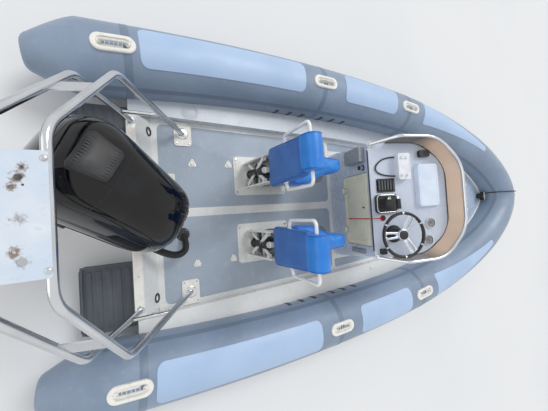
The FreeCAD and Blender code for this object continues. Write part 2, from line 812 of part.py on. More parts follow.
def make_console():
    """Hollow console moulding with its door opening and hinge ears."""
    shell = console_loft(0, 0)
    room = console_loft(CONSOLE_WALL, CONSOLE_WALL)
    shell = shell.cut(room)
    shell = shell.cut(door_panel(RUN, -60, 60))
    x, z = DOOR_AXIS
    pieces = [shell]
    for y in DOOR_HINGES:
        for s in (-1, 1):
            a = y + s * 28
            tip = aft_face_x(z - 34) + 6
            ear = [(x - 5, z), (x + 5, z), (tip, z - 26), (tip, z - 40), (x - 5, z - 12)]
            pieces.append(profile(ear, a - 4, a + 4))
            pieces.append(rod((x, a - 4, z), (x, a + 4, z), 6))
        pieces.append(rod((x, y - 30, z), (x, y + 30, z), 3))
    return fuse(pieces)


def make_door():
    """Drop-down door with hinge barrels and a latch."""
    panel = door_panel(0, 1 - DOOR_T, 1)
    x, z = DOOR_AXIS
    pieces = [panel]
    bores = []
    for y in DOOR_HINGES:
        pieces.append(rod((x, y - 22, z), (x, y + 22, z), 6))
        pieces.append(profile([(x - 6, z), (x + 20, z), (x + 14, z + 22), (x - 2, z + 16)], y - 22, y + 22))
        bores.append(rod((x, y - 50, z), (x, y + 50, z), 3.4))
    latch_z = DOOR_Z[1] - 60
    latch_x = aft_face_x(latch_z)
    pieces.append(rod((latch_x + 4, -50, latch_z), (latch_x - 12, -50, latch_z - 4), 16))
    return fuse(pieces).cut(Part.makeCompound(bores))


def make_console_fittings():
    """Small moulded boxes and a switch knob on the aft face."""
    boxes = [((330, 448), (600, 835), 66), ((-500, -405), (560, 760), 22)]
    pieces = []
    for (y0, y1), (z0, z1), deep in boxes:
        y0 = max(y0, -440)
        low_x, high_x = aft_face_x(z0) - FIT, aft_face_x(z1) - FIT
        shape = [(low_x - deep, z0), (low_x, z0), (high_x, z1), (high_x - deep, z1)]
        pieces.append(profile(shape, y0, y1))
    knob_z = 800
    pieces.append(rod((aft_face_x(knob_z) - FIT, 280, knob_z), (aft_face_x(knob_z) - 34, 280, knob_z - 10), 17))
    return Part.makeCompound(pieces)


def dash_box(length, width, height, radius, lift=0.0):
    """Rounded block drawn centred on XY."""
    x, y = length / 2, width / 2
    return plate([(-x, -y), (x, -y), (x, y), (-x, y)], radius, lift, lift + height)


def make_dash_radio():
    """Radio case with two knobs."""
    case = dash_box(104, 210, 62, 12)
    knobs = [rod((s * 24, -70, 62), (s * 24, -70, 78), 11) for s in (-1, 1)]
    return on_dash(fuse([case] + knobs), 1964, 262)


def make_dash_display():
    """Covered chart display."""
    low = rounded([(-100, -186), (100, -186), (100, 186), (-100, 186)], 22)
    high = rounded([(-88, -172), (88, -172), (88, 172), (-88, 172)], 22)
    high.translate(V(0, 0, 36))
    return on_dash(Part.makeLoft([low, high], True, True), 2176, 105)


def make_dash_switches():
    """Six rocker switches on a panel."""
    pieces = [dash_box(160, 112, 6, 8)]
    for i in range(6):
        rocker = dash_box(18, 84, 8, 3, 5)
        rocker.translate(V(-62.5 + i * 25, 0, 0))
        pieces.append(rocker)
    return on_dash(fuse(pieces), 1832, 118)


def make_dash_throttle():
    """Binnacle with its lever at rest."""
    base = dash_box(190, 150, 30, 30)
    crown = profile([(-70, 28), (-40, 74), (40, 74), (70, 28)], -34, 34)
    arm = pipe([(0, 34, 50), (0, 58, 50), (10, 58, 150), (10, -20, 160)], 8, [14, 24])
    grip = rod((10, -46, 162), (10, 30, 158), 17)
    return on_dash(fuse([base, crown, arm, grip]), 1822, -30)


def make_dash_gauges():
    """Two round gauges."""
    pieces = []
    for x, y in ((2188, -212), (2160, -352)):
        ring = Part.makeCylinder(43, 12).cut(Part.makeCylinder(37, 12, V(0, 0, 8)))
        pieces.append(on_dash(ring, x, y))
    return Part.makeCompound(pieces)


def make_dash_controls():
    """Stop switch and a small black box."""
    stop = fuse([Part.makeCylinder(19, 8), Part.makeCylinder(11, 24)])
    box_piece = dash_box(52, 46, 24, 8)
    return Part.makeCompound([on_dash(stop, *STOP_SWITCH), on_dash(box_piece, 1772, -412)])


def make_dash_mic():
    """Fist microphone in its clip."""
    body = dash_box(92, 58, 30, 18, 6)
    clip = dash_box(24, 30, 8, 6)
    return on_dash(fuse([body, clip]), 2160, 365)


def make_helm_base():
    """Tilt housing under the wheel."""
    cone = Part.makeCone(62, 40, HELM_BASE_H)
    flange = Part.makeCylinder(70, 8)
    return on_dash(fuse([flange, cone]), *HELM_FOOT)


HELM_FOOT = (1870.0, HELM_Y)


def make_wheel():
    """Helm wheel: rim, hub and three slotted spokes."""
    rim_r = WHEEL_R - WHEEL_RIM_R
    pieces = [Part.makeTorus(rim_r, WHEEL_RIM_R, V(0, 0, WHEEL_LIFT))]
    pieces.append(Part.makeCylinder(44, 26, V(0, 0, WHEEL_LIFT - 22)))
    pieces.append(Part.makeCylinder(13, WHEEL_LIFT - 100, V(0, 0, HELM_BASE_H + FIT)))
    for i in range(3):
        spoke = plate([(30, -24), (rim_r, -34), (rim_r, 34), (30, 24)], 4, WHEEL_LIFT - 12, WHEEL_LIFT - 4)
        slot = plate([(62, -7), (rim_r - 30, -14), (rim_r - 30, 14), (62, 7)], 6, 0, WHEEL_LIFT + 30)
        spoke = spoke.cut(slot)
        spoke.rotate(V(0, 0, 0), V(0, 0, 1), 180 + i * 120)
        pieces.append(spoke)
    return on_dash(fuse(pieces), *HELM_FOOT)


RAIL_PLAN = [(1850, 488), (2170, 482), (2372, 262)]
SCREEN_FOOT = [(1850, 468), (2128, 462), (2350, 288)]


def rail_height(x):
    """Height of the screen rail's centre at x."""
    return 1085 + (x - RAIL_PLAN[0][0]) * math.tan(math.radians(RAIL_PITCH))


def make_rail(extra):
    """Stainless rail round the screen, down to the dash at its ends."""
    foot = (1712, 455, dash_height(1722) - 22)
    half = [foot] + [(x, y, rail_height(x)) for x, y in RAIL_PLAN]
    route = half + [(x, -y, z) for x, y, z in reversed(half)]
    rail = pipe(route, RAIL_R + extra, [90, 280, 280, 280, 280, 90])
    return rail.cut(console_loft(-FIT, -FIT))


def screen_strip(plan, pitch, x0, z0):
    """Closed strip of the screen's thickness on a sloping plane."""
    slope = math.cos(math.radians(pitch))
    thick = 2.5
    outer = [((x - x0 + (thick if i == 2 else 0)) / slope, y + thick) for i, (x, y) in enumerate(plan)]
    inner = [((x - x0 - (thick if i == 2 else 0)) / slope, y - thick) for i, (x, y) in enumerate(plan)]
    points = outer + [(x, -y) for x, y in reversed(outer)]
    points += inner_back(inner)
    radii = [0.5, 280, 280, 280, 280, 0.5, 0.5, 276, 276, 276, 276, 0.5]
    wire = rounded(points, radii)
    wire.rotate(V(0, 0, 0), V(0, 1, 0), -pitch)
    wire.translate(V(x0, 0, z0))
    return wire


def inner_back(inner):
    """Inner line of the strip, walked from starboard back to port."""
    return [(x, -y) for x, y in inner] + list(reversed(inner))


def make_screen():
    """Acrylic windscreen between the dash and the rail."""
    low = screen_strip(SCREEN_FOOT, DASH_PITCH, CONSOLE_TOP[0][0], DASH_Z + FIT)
    under = RAIL_R + FIT
    high = screen_strip(RAIL_PLAN, RAIL_PITCH, RAIL_PLAN[0][0], rail_height(RAIL_PLAN[0][0]) - under)
    return Part.makeLoft([low, high], True, True).cut(make_rail(FIT))


# Outboard

def set_motor(shape):
    """Steer and tilt a piece that is drawn upright about the tilt pin."""
    body = shape.copy()
    body.rotate(V(SWIVEL_X, 0, 0), V(0, 0, 1), STEER_REST)
    return set_bracket(body)


def set_bracket(shape):
    """Tilt a piece that doesn't steer."""
    body = shape.copy()
    body.rotate(V(0, 0, 0), V(0, 1, 0), TILT_REST)
    body.translate(PIVOT)
    return body


def make_clamp():
    """Clamp plates hooked over the transom, with the tilt pin."""
    x, z = PIVOT.x, PIVOT.z
    rake = math.tan(math.radians(TRANSOM_RAKE))
    face = (TRANSOM_Z - 80) * rake
    side = [(-0.5, TRANSOM_Z + 0.5), (TRANSOM_T, TRANSOM_Z + 0.5), (TRANSOM_T, 352), (10, 385)]
    side += [(x, 398), (-64, 375), (-64, 340), (face - 60, 80), (face - 0.5, 80)]
    pieces = [profile(side, 95, 109), profile(side, -109, -95)]
    pieces.append(rod((x, -112, z), (x, 112, z), PIN_R))
    return fuse(pieces)


def make_swivel():
    """Swivel bracket between the tilt pin and the king pin."""
    pieces = [rod((0, -88, 0), (0, 88, 0), 21)]
    pieces.append(Part.makeCylinder(42, 200, V(SWIVEL_X, 0, -180)))
    arm = [(-10, -20), (14, -16), (-30, -120), (SWIVEL_X, -170), (SWIVEL_X, 8)]
    pieces.append(profile(arm, -36, 36))
    solid = fuse(pieces)
    solid = solid.cut(rod((0, -120, 0), (0, 120, 0), PIN_R + 0.4))
    solid = solid.cut(Part.makeCylinder(KING_R + 0.4, 300, V(SWIVEL_X, 0, -240)))
    return set_bracket(solid)


def blade_section(x_nose, x_tail, half, z):
    """Streamlined section: round nose forward, thin tail."""
    points = [(x_tail, -half * 0.25), (x_tail + (x_nose - x_tail) * 0.45, -half)]
    points += [(x_nose, -half * 0.55), (x_nose, half * 0.55)]
    points += [(x_tail + (x_nose - x_tail) * 0.45, half), (x_tail, half * 0.25)]
    return outline([(x, y, z) for x, y in points])


def make_leg():
    """Drive leg with king pin, plates, gearcase and skeg."""
    king = SWIVEL_X
    rows = [(60, -125, -245, 62), (-180, -130, -240, 50), (-560, -120, -300, 42), (-690, -95, -350, 34)]
    pieces = [Part.makeLoft([blade_section(a, b, h, z) for z, a, b, h in rows], True, True)]
    pieces.append(plate([(-215, -60), (-30, -44), (-30, 44), (-215, 60)], 20, 20.5, 60))
    pieces.append(plate([(-215, -44), (-50, -30), (-50, 30), (-215, 44)], 18, -212, -180.5))
    pieces.append(Part.makeCylinder(KING_R, 262, V(king, 0, -206)))
    shield = mirrored([(-130, 40), (-300, 92), (-540, 100)])
    pieces.append(plate(shield, 26, -552, -544))
    pieces.append(plate(mirrored([(-112, 36), (-260, 70), (-400, 66)]), 22, -446, -440))
    body = [(-392, 0), (-392, 40), (-330, GEARCASE_R), (-180, GEARCASE_R), (-90, 46), (-40, 24), (-24, 0)]
    face = Part.Face(outline([(x, 0, PROP_Z + r) for x, r in body]))
    pieces.append(face.revolve(V(0, 0, PROP_Z), V(1, 0, 0), 360))
    skeg = [(-140, PROP_Z - 30), (-330, PROP_Z - 30), (-350, -880), (-300, -900), (-210, -860)]
    pieces.append(profile(skeg, -7, 7))
    return set_motor(fuse(pieces))


def cowl_section(z, front, rear, half_front, half_rear, r_front, r_rear):
    """Plan section of the motor covers."""
    corners = [(rear, -half_rear), (front, -half_front), (front, half_front), (rear, half_rear)]
    wire = rounded(corners, [r_rear, r_front, r_front, r_rear])
    wire.translate(V(0, 0, z))
    return wire


def make_pan():
    """Lower cowl, rounded in front about the steering axis."""
    rows = [
        (60, 42, -560, 94, 156, 60, 96),
        (105, 80, -616, 144, 208, 86, 124),
        (150, 104, -638, 173, 234, 98, 143),
    ]
    body = Part.makeLoft([cowl_section(*row) for row in rows], True, True)
    reach = Part.makeCylinder(187, 200, V(SWIVEL_X, 0, 50))
    rear = box((-700, SWIVEL_X), (-300, 300), (50, 160))
    body = body.common(fuse([reach, rear]))
    x, y, z = GLAND
    gland = rod((x - 70, y, z), (x, y, z), HOSE_R + 5)
    return set_motor(fuse([body, gland]).common(box((-700, x), (-300, 300), (50, 150))))


COWL = [
    (150.5, 106, -640, 175, 236, 100, 145),
    (290, 118, -662, 192, 256, 115, 155),
    (430, 102, -660, 184, 250, 115, 155),
    (556, 44, -620, 148, 214, 105, 145),
    (622, -50, -540, 86, 144, 72, 112),
]


def make_cowl():
    """Glossy top cover with a raised tail panel, hollow over the engine."""
    body = Part.makeLoft([cowl_section(*row) for row in COWL], True, False)
    panel = plate([(-636, -104), (-470, -78), (-470, 78), (-636, 104)], 28, 450, 650)
    panel.rotate(V(-560, 0, 580), V(0, 1, 0), -24)
    lifted = body.copy()
    lifted.translate(V(-7, 0, 9))
    body = fuse([body, lifted.common(panel)])
    return set_motor(body.cut(box((-470, -30), (-122, 122), (150, 480))))


def make_powerhead():
    """Plain engine block inside the covers."""
    return set_motor(box((-462, -38), (-115, 115), (150.5, 470)))


def make_propeller():
    """Three raked blades on a hub."""
    pieces = [rod((PROP_X - FIT, 0, 0), (PROP_X - 90, 0, 0), 40)]
    blade_x = PROP_X - 46
    rows = [(30, 72, 11, 52), (95, 108, 8, 36), (150, 84, 5, 26), (PROP_R, 40, 3, 24)]
    for i in range(3):
        sections = []
        for radius, chord, thick, pitch in rows:
            wire = outline([(-chord / 2, -thick / 2, 0), (chord / 2, -thick / 2, 0),
                            (chord / 2, thick / 2, 0), (-chord / 2, thick / 2, 0)])
            wire.rotate(V(0, 0, 0), V(0, 0, 1), pitch)
            wire.translate(V(blade_x, 0, radius))
            sections.append(wire)
        blade = Part.makeLoft(sections, True, True)
        blade.rotate(V(0, 0, 0), V(1, 0, 0), i * 120)
        pieces.append(blade)
    whole = fuse(pieces)
    whole.translate(V(0, 0, PROP_Z))
    return set_motor(whole)


# Cords and hoses

def gland_end():
    """Centre of the hose socket and the way it points, at rest."""
    x, y, z = GLAND
    steer = FreeCAD.Rotation(V(0, 0, 1), STEER_REST)
    tilt = FreeCAD.Rotation(V(0, 1, 0), TILT_REST)
    swung = V(SWIVEL_X, 0, 0) + steer.multVec(V(x - SWIVEL_X, y, z))
    return PIVOT + tilt.multVec(swung), tilt.multVec(steer.multVec(V(1, 0, 0)))


def make_rigging_hose():
    """Corrugated hose from the motor to the sole."""
    start, ahead = gland_end()
    first = start + ahead * 175
    route = [(start.x, start.y, start.z), (first.x, first.y, first.z)]
    route += [(310, -315, 330), (385, -262, 250), (GROMMET[0], GROMMET[1], SOLE_Z)]
    hose = cord(route, HOSE_R)
    return hose.cut(box((0, 600), (-400, 0), (0, SOLE_Z + FIT)))


def dash_spots(points, lift):
    """Points over the dash, lifted off its surface."""
    return [(x, y, dash_height(x) + lift) for x, y in points]


def make_mic_cord():
    """Coiled lead looped on the dash from the radio and back."""
    spots = [(1912, 345), (1830, 345), (1752, 285), (1752, 228), (1830, 194), (1912, 190)]
    return cord(dash_spots(spots, MIC_CORD_R + 3), MIC_CORD_R)


LANYARD_ROUTE = [(1774.2, -145, 924), (1732, -144, 920), (1684, -143, 890), (1676, -142, 820), (1677, -141, 752), (1676, -140, 688)]


def make_lanyard():
    """Coiled stop lanyard that hangs over the edge of the dash."""
    return cord(LANYARD_ROUTE, LANYARD_R)


def make_lanyard_clip():
    """Clip at the free end of the lanyard."""
    end = V(*LANYARD_ROUTE[-1])
    ahead = (end - V(*LANYARD_ROUTE[-2])).normalize()
    body = Part.makeCylinder(6, 22, end, ahead)
    middle = end + ahead * 32
    ring = rod(tuple(middle - V(0, 2.5, 0)), tuple(middle + V(0, 2.5, 0)), 13)
    hole = rod(tuple(middle - V(0, 9, 0)), tuple(middle + V(0, 9, 0)), 8.5)
    return fuse([body, ring]).cut(hole)


def make_rope_coil():
    """Outer form of the rope turns on the post."""
    low = BOW_DECK_Z + 8
    high = 2 * ROPE_R * ROPE_TURNS
    ring = Part.makeCylinder(POST_R + 2 * ROPE_R + FIT, high, V(POST_X, 0, low))
    return ring.cut(Part.makeCylinder(POST_R + FIT, high, V(POST_X, 0, low)))


def nose_spots(angles, clear):
    """Points round the tube nose, clear of it, in the plane of the rope."""
    x, _, z, r = COLLAR[-1]
    turns = [math.radians(a) for a in angles]
    return [(x + (r + clear) * math.cos(a), 40, z + (r + clear) * math.sin(a)) for a in turns]


def make_bow_line():
    """Rope from the coil over the tube nose."""
    start = (POST_X, POST_R + 3 * ROPE_R + FIT, BOW_DECK_Z + 26)
    route = [start, (4432, 38, 500)] + nose_spots([162, 128], 30) + nose_spots([96, 64, 32], 24)
    print("bow line", [tuple(round(c, 1) for c in p) for p in route])
    return cord(route, ROPE_R)


def make_bow_knot():
    """Knot at the end of the rope, with a small shackle."""
    spot = V(*nose_spots([32], 24)[0])
    middle = spot + V(8, 0, -12)
    knot = rod(tuple(middle - V(0, 15, 0)), tuple(middle + V(0, 15, 0)), 15)
    centre = spot + V(30, 0, -22)
    ring = rod(tuple(centre - V(0, 4, 0)), tuple(centre + V(0, 4, 0)), 20)
    ring = ring.cut(rod(tuple(centre - V(0, 9, 0)), tuple(centre + V(0, 9, 0)), 12))
    return fuse([knot, ring]).cut(make_bow_line())


def build_hull():
    """Hull mouldings, collar and what is fastened to them."""
    collar = make_collar()
    form = make_hull_form(collar)
    port, starboard = make_ledges(form)
    save("tube_collar", collar)
    save("tube_doublers", make_doublers(collar))
    save("tube_handles", make_tube_handles(collar))
    save("hull_bottom", make_hull_bottom(form))
    save("deck_sole", make_sole())
    save("side_ledge_port", port)
    save("side_ledge_starboard", starboard)
    save("transom", make_transom(collar))
    save("bow_deck", make_bow_deck(form, collar))
    save("locker_lid", make_lid())
    save("bow_plate", make_bow_plate(collar))
    save("bow_post", make_bow_post())
    save("bow_eye", make_bow_eye().cut(make_hull_bottom(form)))
    save("stern_steps", make_stern_steps(form, collar))
    save("deck_fittings", make_deck_fittings())


def build_arch():
    """Stern arch."""
    arch = make_arch()
    save("arch_frame", arch)
    save("arch_side_plates", make_side_plates(arch))
    save("arch_top_plate", make_top_plate())


def build_seats():
    """Both seats."""
    shared = [
        ("seat_bases", seat_base()),
        ("seat_suspensions", seat_suspension()),
        ("seat_pods", seat_pod()),
        ("seat_handles", seat_handle(0)),
    ]
    for name, shape in shared:
        save(name, Part.makeCompound(list(both_seats(shape))))
    soft = [("seat_cushion", seat_cushion()), ("seat_back", seat_back()), ("seat_bolster", seat_bolster())]
    for name, shape in soft:
        port, starboard = both_seats(shape)
        save(name + "_port", port)
        save(name + "_starboard", starboard)


def build_console():
    """Console, its door, screen and instruments."""
    save("console_body", make_console())
    save("console_door", make_door())
    save("console_fittings", make_console_fittings())
    save("windscreen", make_screen())
    save("windscreen_rail", make_rail(0))
    save("dash_radio", make_dash_radio())
    save("dash_display", make_dash_display())
    save("dash_switches", make_dash_switches())
    save("dash_throttle", make_dash_throttle())
    save("dash_gauges", make_dash_gauges())
    save("dash_controls", make_dash_controls())
    save("dash_microphone", make_dash_mic())
    save("helm_base", make_helm_base())
    save("helm_wheel", make_wheel())


def build_motor():
    """Outboard at its rest pose."""
    save("motor_clamp", make_clamp())
    save("motor_swivel", make_swivel())
    save("motor_leg", make_leg())
    save("motor_pan", make_pan())
    save("motor_cowl", make_cowl())
    save("motor_powerhead", make_powerhead())
    save("propeller", make_propeller())


def build_cords():
    """Hose, leads and ropes."""
    save("rigging_hose", make_rigging_hose())
    save("mic_cord", make_mic_cord())
    save("stop_lanyard", make_lanyard())
    save("lanyard_clip", make_lanyard_clip())
    save("bow_rope_coil", make_rope_coil())
    save("bow_line", make_bow_line())
    save("bow_knot", make_bow_knot())


build_hull()
build_arch()
build_seats()
build_console()
build_motor()
build_cords()
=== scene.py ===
"""Looks of the rigid inflatable boat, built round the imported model."""
import math

import bmesh
import bpy
import numpy as np
from mathutils import Matrix, Vector
from mathutils.bvhtree import BVHTree


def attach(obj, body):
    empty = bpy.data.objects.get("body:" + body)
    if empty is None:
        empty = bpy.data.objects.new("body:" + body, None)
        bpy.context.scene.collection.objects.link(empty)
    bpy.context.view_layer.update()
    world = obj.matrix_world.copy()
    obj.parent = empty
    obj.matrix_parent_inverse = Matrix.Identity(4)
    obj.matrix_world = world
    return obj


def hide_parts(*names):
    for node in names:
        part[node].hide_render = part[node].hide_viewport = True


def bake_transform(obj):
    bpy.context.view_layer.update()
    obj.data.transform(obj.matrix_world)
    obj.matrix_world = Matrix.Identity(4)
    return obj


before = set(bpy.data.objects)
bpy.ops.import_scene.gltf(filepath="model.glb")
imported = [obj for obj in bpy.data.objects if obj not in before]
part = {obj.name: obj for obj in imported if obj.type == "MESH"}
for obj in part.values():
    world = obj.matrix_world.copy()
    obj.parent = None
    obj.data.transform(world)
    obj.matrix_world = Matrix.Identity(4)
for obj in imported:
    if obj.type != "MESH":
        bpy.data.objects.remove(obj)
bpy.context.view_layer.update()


# Hull: one glass-fibre moulding laid up in a female tool, white gelcoat outside,
# with a separate cockpit sole and side ledges bonded in. The shapes come from the
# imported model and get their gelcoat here.

def paint(red, green, blue):
    """Shader colour of a finish named by its 0 to 255 levels."""
    levels = [level / 255 for level in (red, green, blue)]
    return (*[v / 12.92 if v < 0.041 else ((v + 0.055) / 1.055) ** 2.4 for v in levels], 1.0)


def mm(*rows):
    """Rows of measures written in millimetres."""
    return [tuple(value / 1000 for value in row) for row in rows]


class Finish:
    """One surface, built up in coats: colour, mottling, stains, grain."""

    def __init__(self, name, colour, rough, metal=0.0, coat=0.0):
        self.material = bpy.data.materials.new(name)
        self.material.use_nodes = True
        self.tree = self.material.node_tree
        self.skin = self.tree.nodes["Principled BSDF"]
        self.place = self.tree.nodes.new("ShaderNodeTexCoord").outputs["Object"]
        self.colour = paint(*colour)
        self.normal = None
        self.rough = rough
        values = {"Base Color": self.colour, "Metallic": metal, "Roughness": rough}
        values.update({"Coat Weight": coat, "Coat Roughness": 0.06})
        for key, value in values.items():
            self.skin.inputs[key].default_value = value

    def add(self, kind, inputs, **settings):
        """A node with its settings, values and links."""
        made = self.tree.nodes.new(kind)
        for key, value in settings.items():
            setattr(made, key, value)
        for key, value in inputs.items():
            if isinstance(value, bpy.types.NodeSocket):
                self.tree.links.new(value, made.inputs[key])
            else:
                made.inputs[key].default_value = value
        return made

    def cloud(self, size, detail=4.0, stretch=(1, 1, 1)):
        """Soft noise whose patches are about size metres across."""
        scale = [1 / (size * s) for s in stretch]
        spot = self.add("ShaderNodeMapping", {"Vector": self.place, "Scale": scale})
        made = self.add("ShaderNodeTexNoise", {"Vector": spot.outputs[0], "Scale": 1.0, "Detail": detail})
        return made.outputs[0]

    def cells(self, size):
        """Small cells, as of moulded non-slip or a hide's grain."""
        made = self.add("ShaderNodeTexVoronoi", {"Vector": self.place, "Scale": 1 / size})
        return made.outputs[0]

    def fade(self, value, low, high, first, last):
        """The value stretched from low to high onto first to last."""
        made = self.add("ShaderNodeMapRange", {0: value, 1: low, 2: high, 3: first, 4: last})
        return made.outputs[0]

    def lay(self, amount, colour):
        """Another colour over what is there, by amount."""
        mix = self.add("ShaderNodeMix", {0: amount, 6: self.colour, 7: paint(*colour)}, data_type="RGBA")
        self.colour = mix.outputs[2]
        self.tree.links.new(self.colour, self.skin.inputs["Base Color"])
        return self

    def mottle(self, colour, size, low=0.45, high=0.7, most=0.6):
        """Uneven patches of a second colour."""
        return self.lay(self.fade(self.cloud(size, 6.0), low, high, 0.0, most), colour)

    def gloss_from(self, size, spread):
        """Roughness that varies about its own level."""
        low, high = max(0.02, self.rough - spread), self.rough + spread
        made = self.fade(self.cloud(size, 5.0), 0.35, 0.65, low, high)
        self.tree.links.new(made, self.skin.inputs["Roughness"])
        return self

    def relief(self, height, depth):
        """Bump of that depth in metres."""
        values = {"Height": height, "Distance": depth, "Strength": 1.0}
        if self.normal is not None:
            values["Normal"] = self.normal
        self.normal = self.add("ShaderNodeBump", values).outputs[0]
        self.tree.links.new(self.normal, self.skin.inputs["Normal"])
        return self

    def stains(self, centres, reach, colour, most=0.85):
        """Ragged stains round the given points."""
        edge = self.fade(self.cloud(reach * 0.5, 5.0), 0.3, 0.7, -0.45 * reach, 0.45 * reach)
        for centre in centres:
            gap = self.add("ShaderNodeVectorMath", {0: self.place, 1: centre}, operation="DISTANCE")
            ragged = self.add("ShaderNodeMath", {0: gap.outputs["Value"], 1: edge}, operation="ADD")
            self.lay(self.fade(ragged.outputs[0], reach, reach * 0.35, 0.0, most), colour)
        return self

    def on(self, *names):
        """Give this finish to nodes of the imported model."""
        for name in names:
            mesh = part[name].data
            for slot in range(max(1, len(mesh.materials))):
                if len(mesh.materials) == 0:
                    mesh.materials.append(self.material)
                mesh.materials[slot] = self.material
        return self


gelcoat = Finish("gelcoat_white", (236, 237, 236), 0.24, coat=0.35)
gelcoat.mottle((206, 210, 208), 0.9, 0.5, 0.75, 0.55).mottle((190, 188, 176), 0.12, 0.6, 0.8, 0.35)
gelcoat.gloss_from(0.2, 0.1).relief(gelcoat.cloud(0.05), 0.0006)
gelcoat.on("hull_bottom", "transom", "side_ledge_starboard", "deck_sole")
deck_blue = Finish("gelcoat_bow_deck", (182, 199, 220), 0.3, coat=0.2)
deck_blue.mottle((168, 184, 204), 0.5, 0.45, 0.72, 0.6).mottle((176, 172, 160), 0.08, 0.6, 0.8, 0.35)
deck_blue.gloss_from(0.15, 0.1).relief(deck_blue.cells(0.004), 0.0002).on("bow_deck")
ledge_grey = Finish("gelcoat_ledge", (206, 214, 222), 0.34, coat=0.15)
ledge_grey.mottle((184, 192, 200), 0.5).mottle((170, 168, 158), 0.06, 0.6, 0.8, 0.3)
ledge_grey.gloss_from(0.1, 0.1).relief(ledge_grey.cells(0.004), 0.0003).on("side_ledge_port")


# Inflated collar: coated fabric glued into two tubes that meet at the bow, with
# tapered tails, taped seams between the panels and pale wear panels on top.

TUBE_STATIONS = mm((-240, 1040, 290, 235), (400, 1085, 292, 235), (1450, 1098, 313, 235),
                   (2300, 1050, 347, 232), (3100, 935, 394, 225), (3850, 705, 451, 218),
                   (4400, 400, 500, 214), (4672, 0, 528, 212))
TUBE_SIDES = 72
TUBE_STEP = 0.03


def natural_spline(knots, spacing):
    """Smooth line through the knots, sampled evenly."""
    knots = np.array(knots, float)
    reach = np.linalg.norm(np.diff(knots[:, :3], axis=0), axis=1)
    along = np.concatenate([[0], np.cumsum(reach)])
    count = len(along)
    rows = np.zeros((count, count))
    sides = np.zeros((count, knots.shape[1]))
    rows[0, 0] = rows[-1, -1] = 1
    for i in range(1, count - 1):
        rows[i, i - 1:i + 2] = reach[i - 1], 2 * (reach[i - 1] + reach[i]), reach[i]
        sides[i] = 6 * ((knots[i + 1] - knots[i]) / reach[i] - (knots[i] - knots[i - 1]) / reach[i - 1])
    curve = np.linalg.solve(rows, sides)
    spots = np.linspace(0, along[-1], int(along[-1] / spacing) + 1)
    made = []
    for s in spots:
        i = min(np.searchsorted(along, s, "right") - 1, count - 2)
        h, a, b = reach[i], along[i + 1] - s, s - along[i]
        made.append(curve[i] * a ** 3 / (6 * h) + curve[i + 1] * b ** 3 / (6 * h)
                    + (knots[i] / h - curve[i] * h / 6) * a + (knots[i + 1] / h - curve[i + 1] * h / 6) * b)
    return np.array(made)


starboard_stations = [(x, -y, z, r) for x, y, z, r in TUBE_STATIONS[-2::-1]]
tube_line = natural_spline(TUBE_STATIONS + starboard_stations, TUBE_STEP)
tube_ahead = np.gradient(tube_line[:, :3], axis=0)
tube_ahead /= np.linalg.norm(tube_ahead, axis=1)[:, None]
tube_out = np.cross([0, 0, 1], tube_ahead)
tube_out /= np.linalg.norm(tube_out, axis=1)[:, None]
tube_up = np.cross(tube_ahead, tube_out)
tube_half = len(tube_line) // 2


def tube_point(where, angle, lift=0.0):
    """Point of the tube's skin: where along its line, angle from outboard over the top."""
    i = min(int(where), len(tube_line) - 2)
    share = where - i
    mixed = [a[i] * (1 - share) + a[i + 1] * share for a in (tube_line, tube_out, tube_up)]
    reach = mixed[0][3] + lift
    return Vector(mixed[0][:3] + reach * (math.cos(angle) * mixed[1] + math.sin(angle) * mixed[2]))


def tube_where(x, side):
    """Place along the line at x on the port (1) or starboard (-1) tube."""
    where = np.interp(x, tube_line[:tube_half + 1, 0], np.arange(tube_half + 1))
    return where if side > 0 else len(tube_line) - 1 - where


def shown(name, data):
    """An object of that mesh, curve, lamp or camera, linked to the scene."""
    made = bpy.data.objects.new(name, data)
    bpy.context.scene.collection.objects.link(made)
    return made


class Moulding:
    """One piece, gathered shape by shape, each shape with its own finish."""

    def __init__(self, name):
        self.name = name
        self.points = []
        self.faces = []
        self.coats = []
        self.finishes = []

    def sheet(self, points, faces, finish, place=None):
        """Loose points and faces."""
        start = len(self.points)
        if place is not None:
            points = [place @ Vector(p) for p in points]
        self.points += [tuple(p) for p in points]
        if finish not in self.finishes:
            self.finishes.append(finish)
        self.faces += [[start + i for i in face] for face in faces]
        self.coats += [self.finishes.index(finish)] * len(faces)

    def skin(self, rings, finish, place=None, ends=(True, True), loop=True, wrap=False):
        """Skin over rings of as many points each."""
        count = len(rings[0])
        rows = len(rings)
        faces = []
        for row in range(rows if wrap else rows - 1):
            low, high = row * count, (row + 1) % rows * count
            for i in range(count if loop else count - 1):
                j = (i + 1) % count
                faces.append((low + i, low + j, high + j, high + i))
        if ends[0] and not wrap:
            faces.append(tuple(reversed(range(count))))
        if ends[1] and not wrap:
            faces.append(tuple(range((rows - 1) * count, rows * count)))
        self.sheet([p for ring in rings for p in ring], faces, finish, place)

    def ride(self, body, *replaced, keep=34, across=None):
        """Make the mesh and set it on its body, or, when across is given, leave it on no body where it
        stands.
        """
        mesh = bpy.data.meshes.new(self.name)
        mesh.from_pydata(self.points, [], self.faces)
        for finish in self.finishes:
            mesh.materials.append(finish.material)
        mesh.polygons.foreach_set("material_index", self.coats)
        work = bmesh.new()
        work.from_mesh(mesh)
        bmesh.ops.remove_doubles(work, verts=work.verts, dist=1e-6)
        bmesh.ops.recalc_face_normals(work, faces=work.faces)
        work.to_mesh(mesh)
        work.free()
        mesh.shade_smooth()
        mesh.set_sharp_from_angle(angle=math.radians(keep))
        piece = shown(self.name, mesh)
        if across:
            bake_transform(piece)
        else:
            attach(piece, body)
        if replaced:
            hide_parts(*replaced)
        return piece


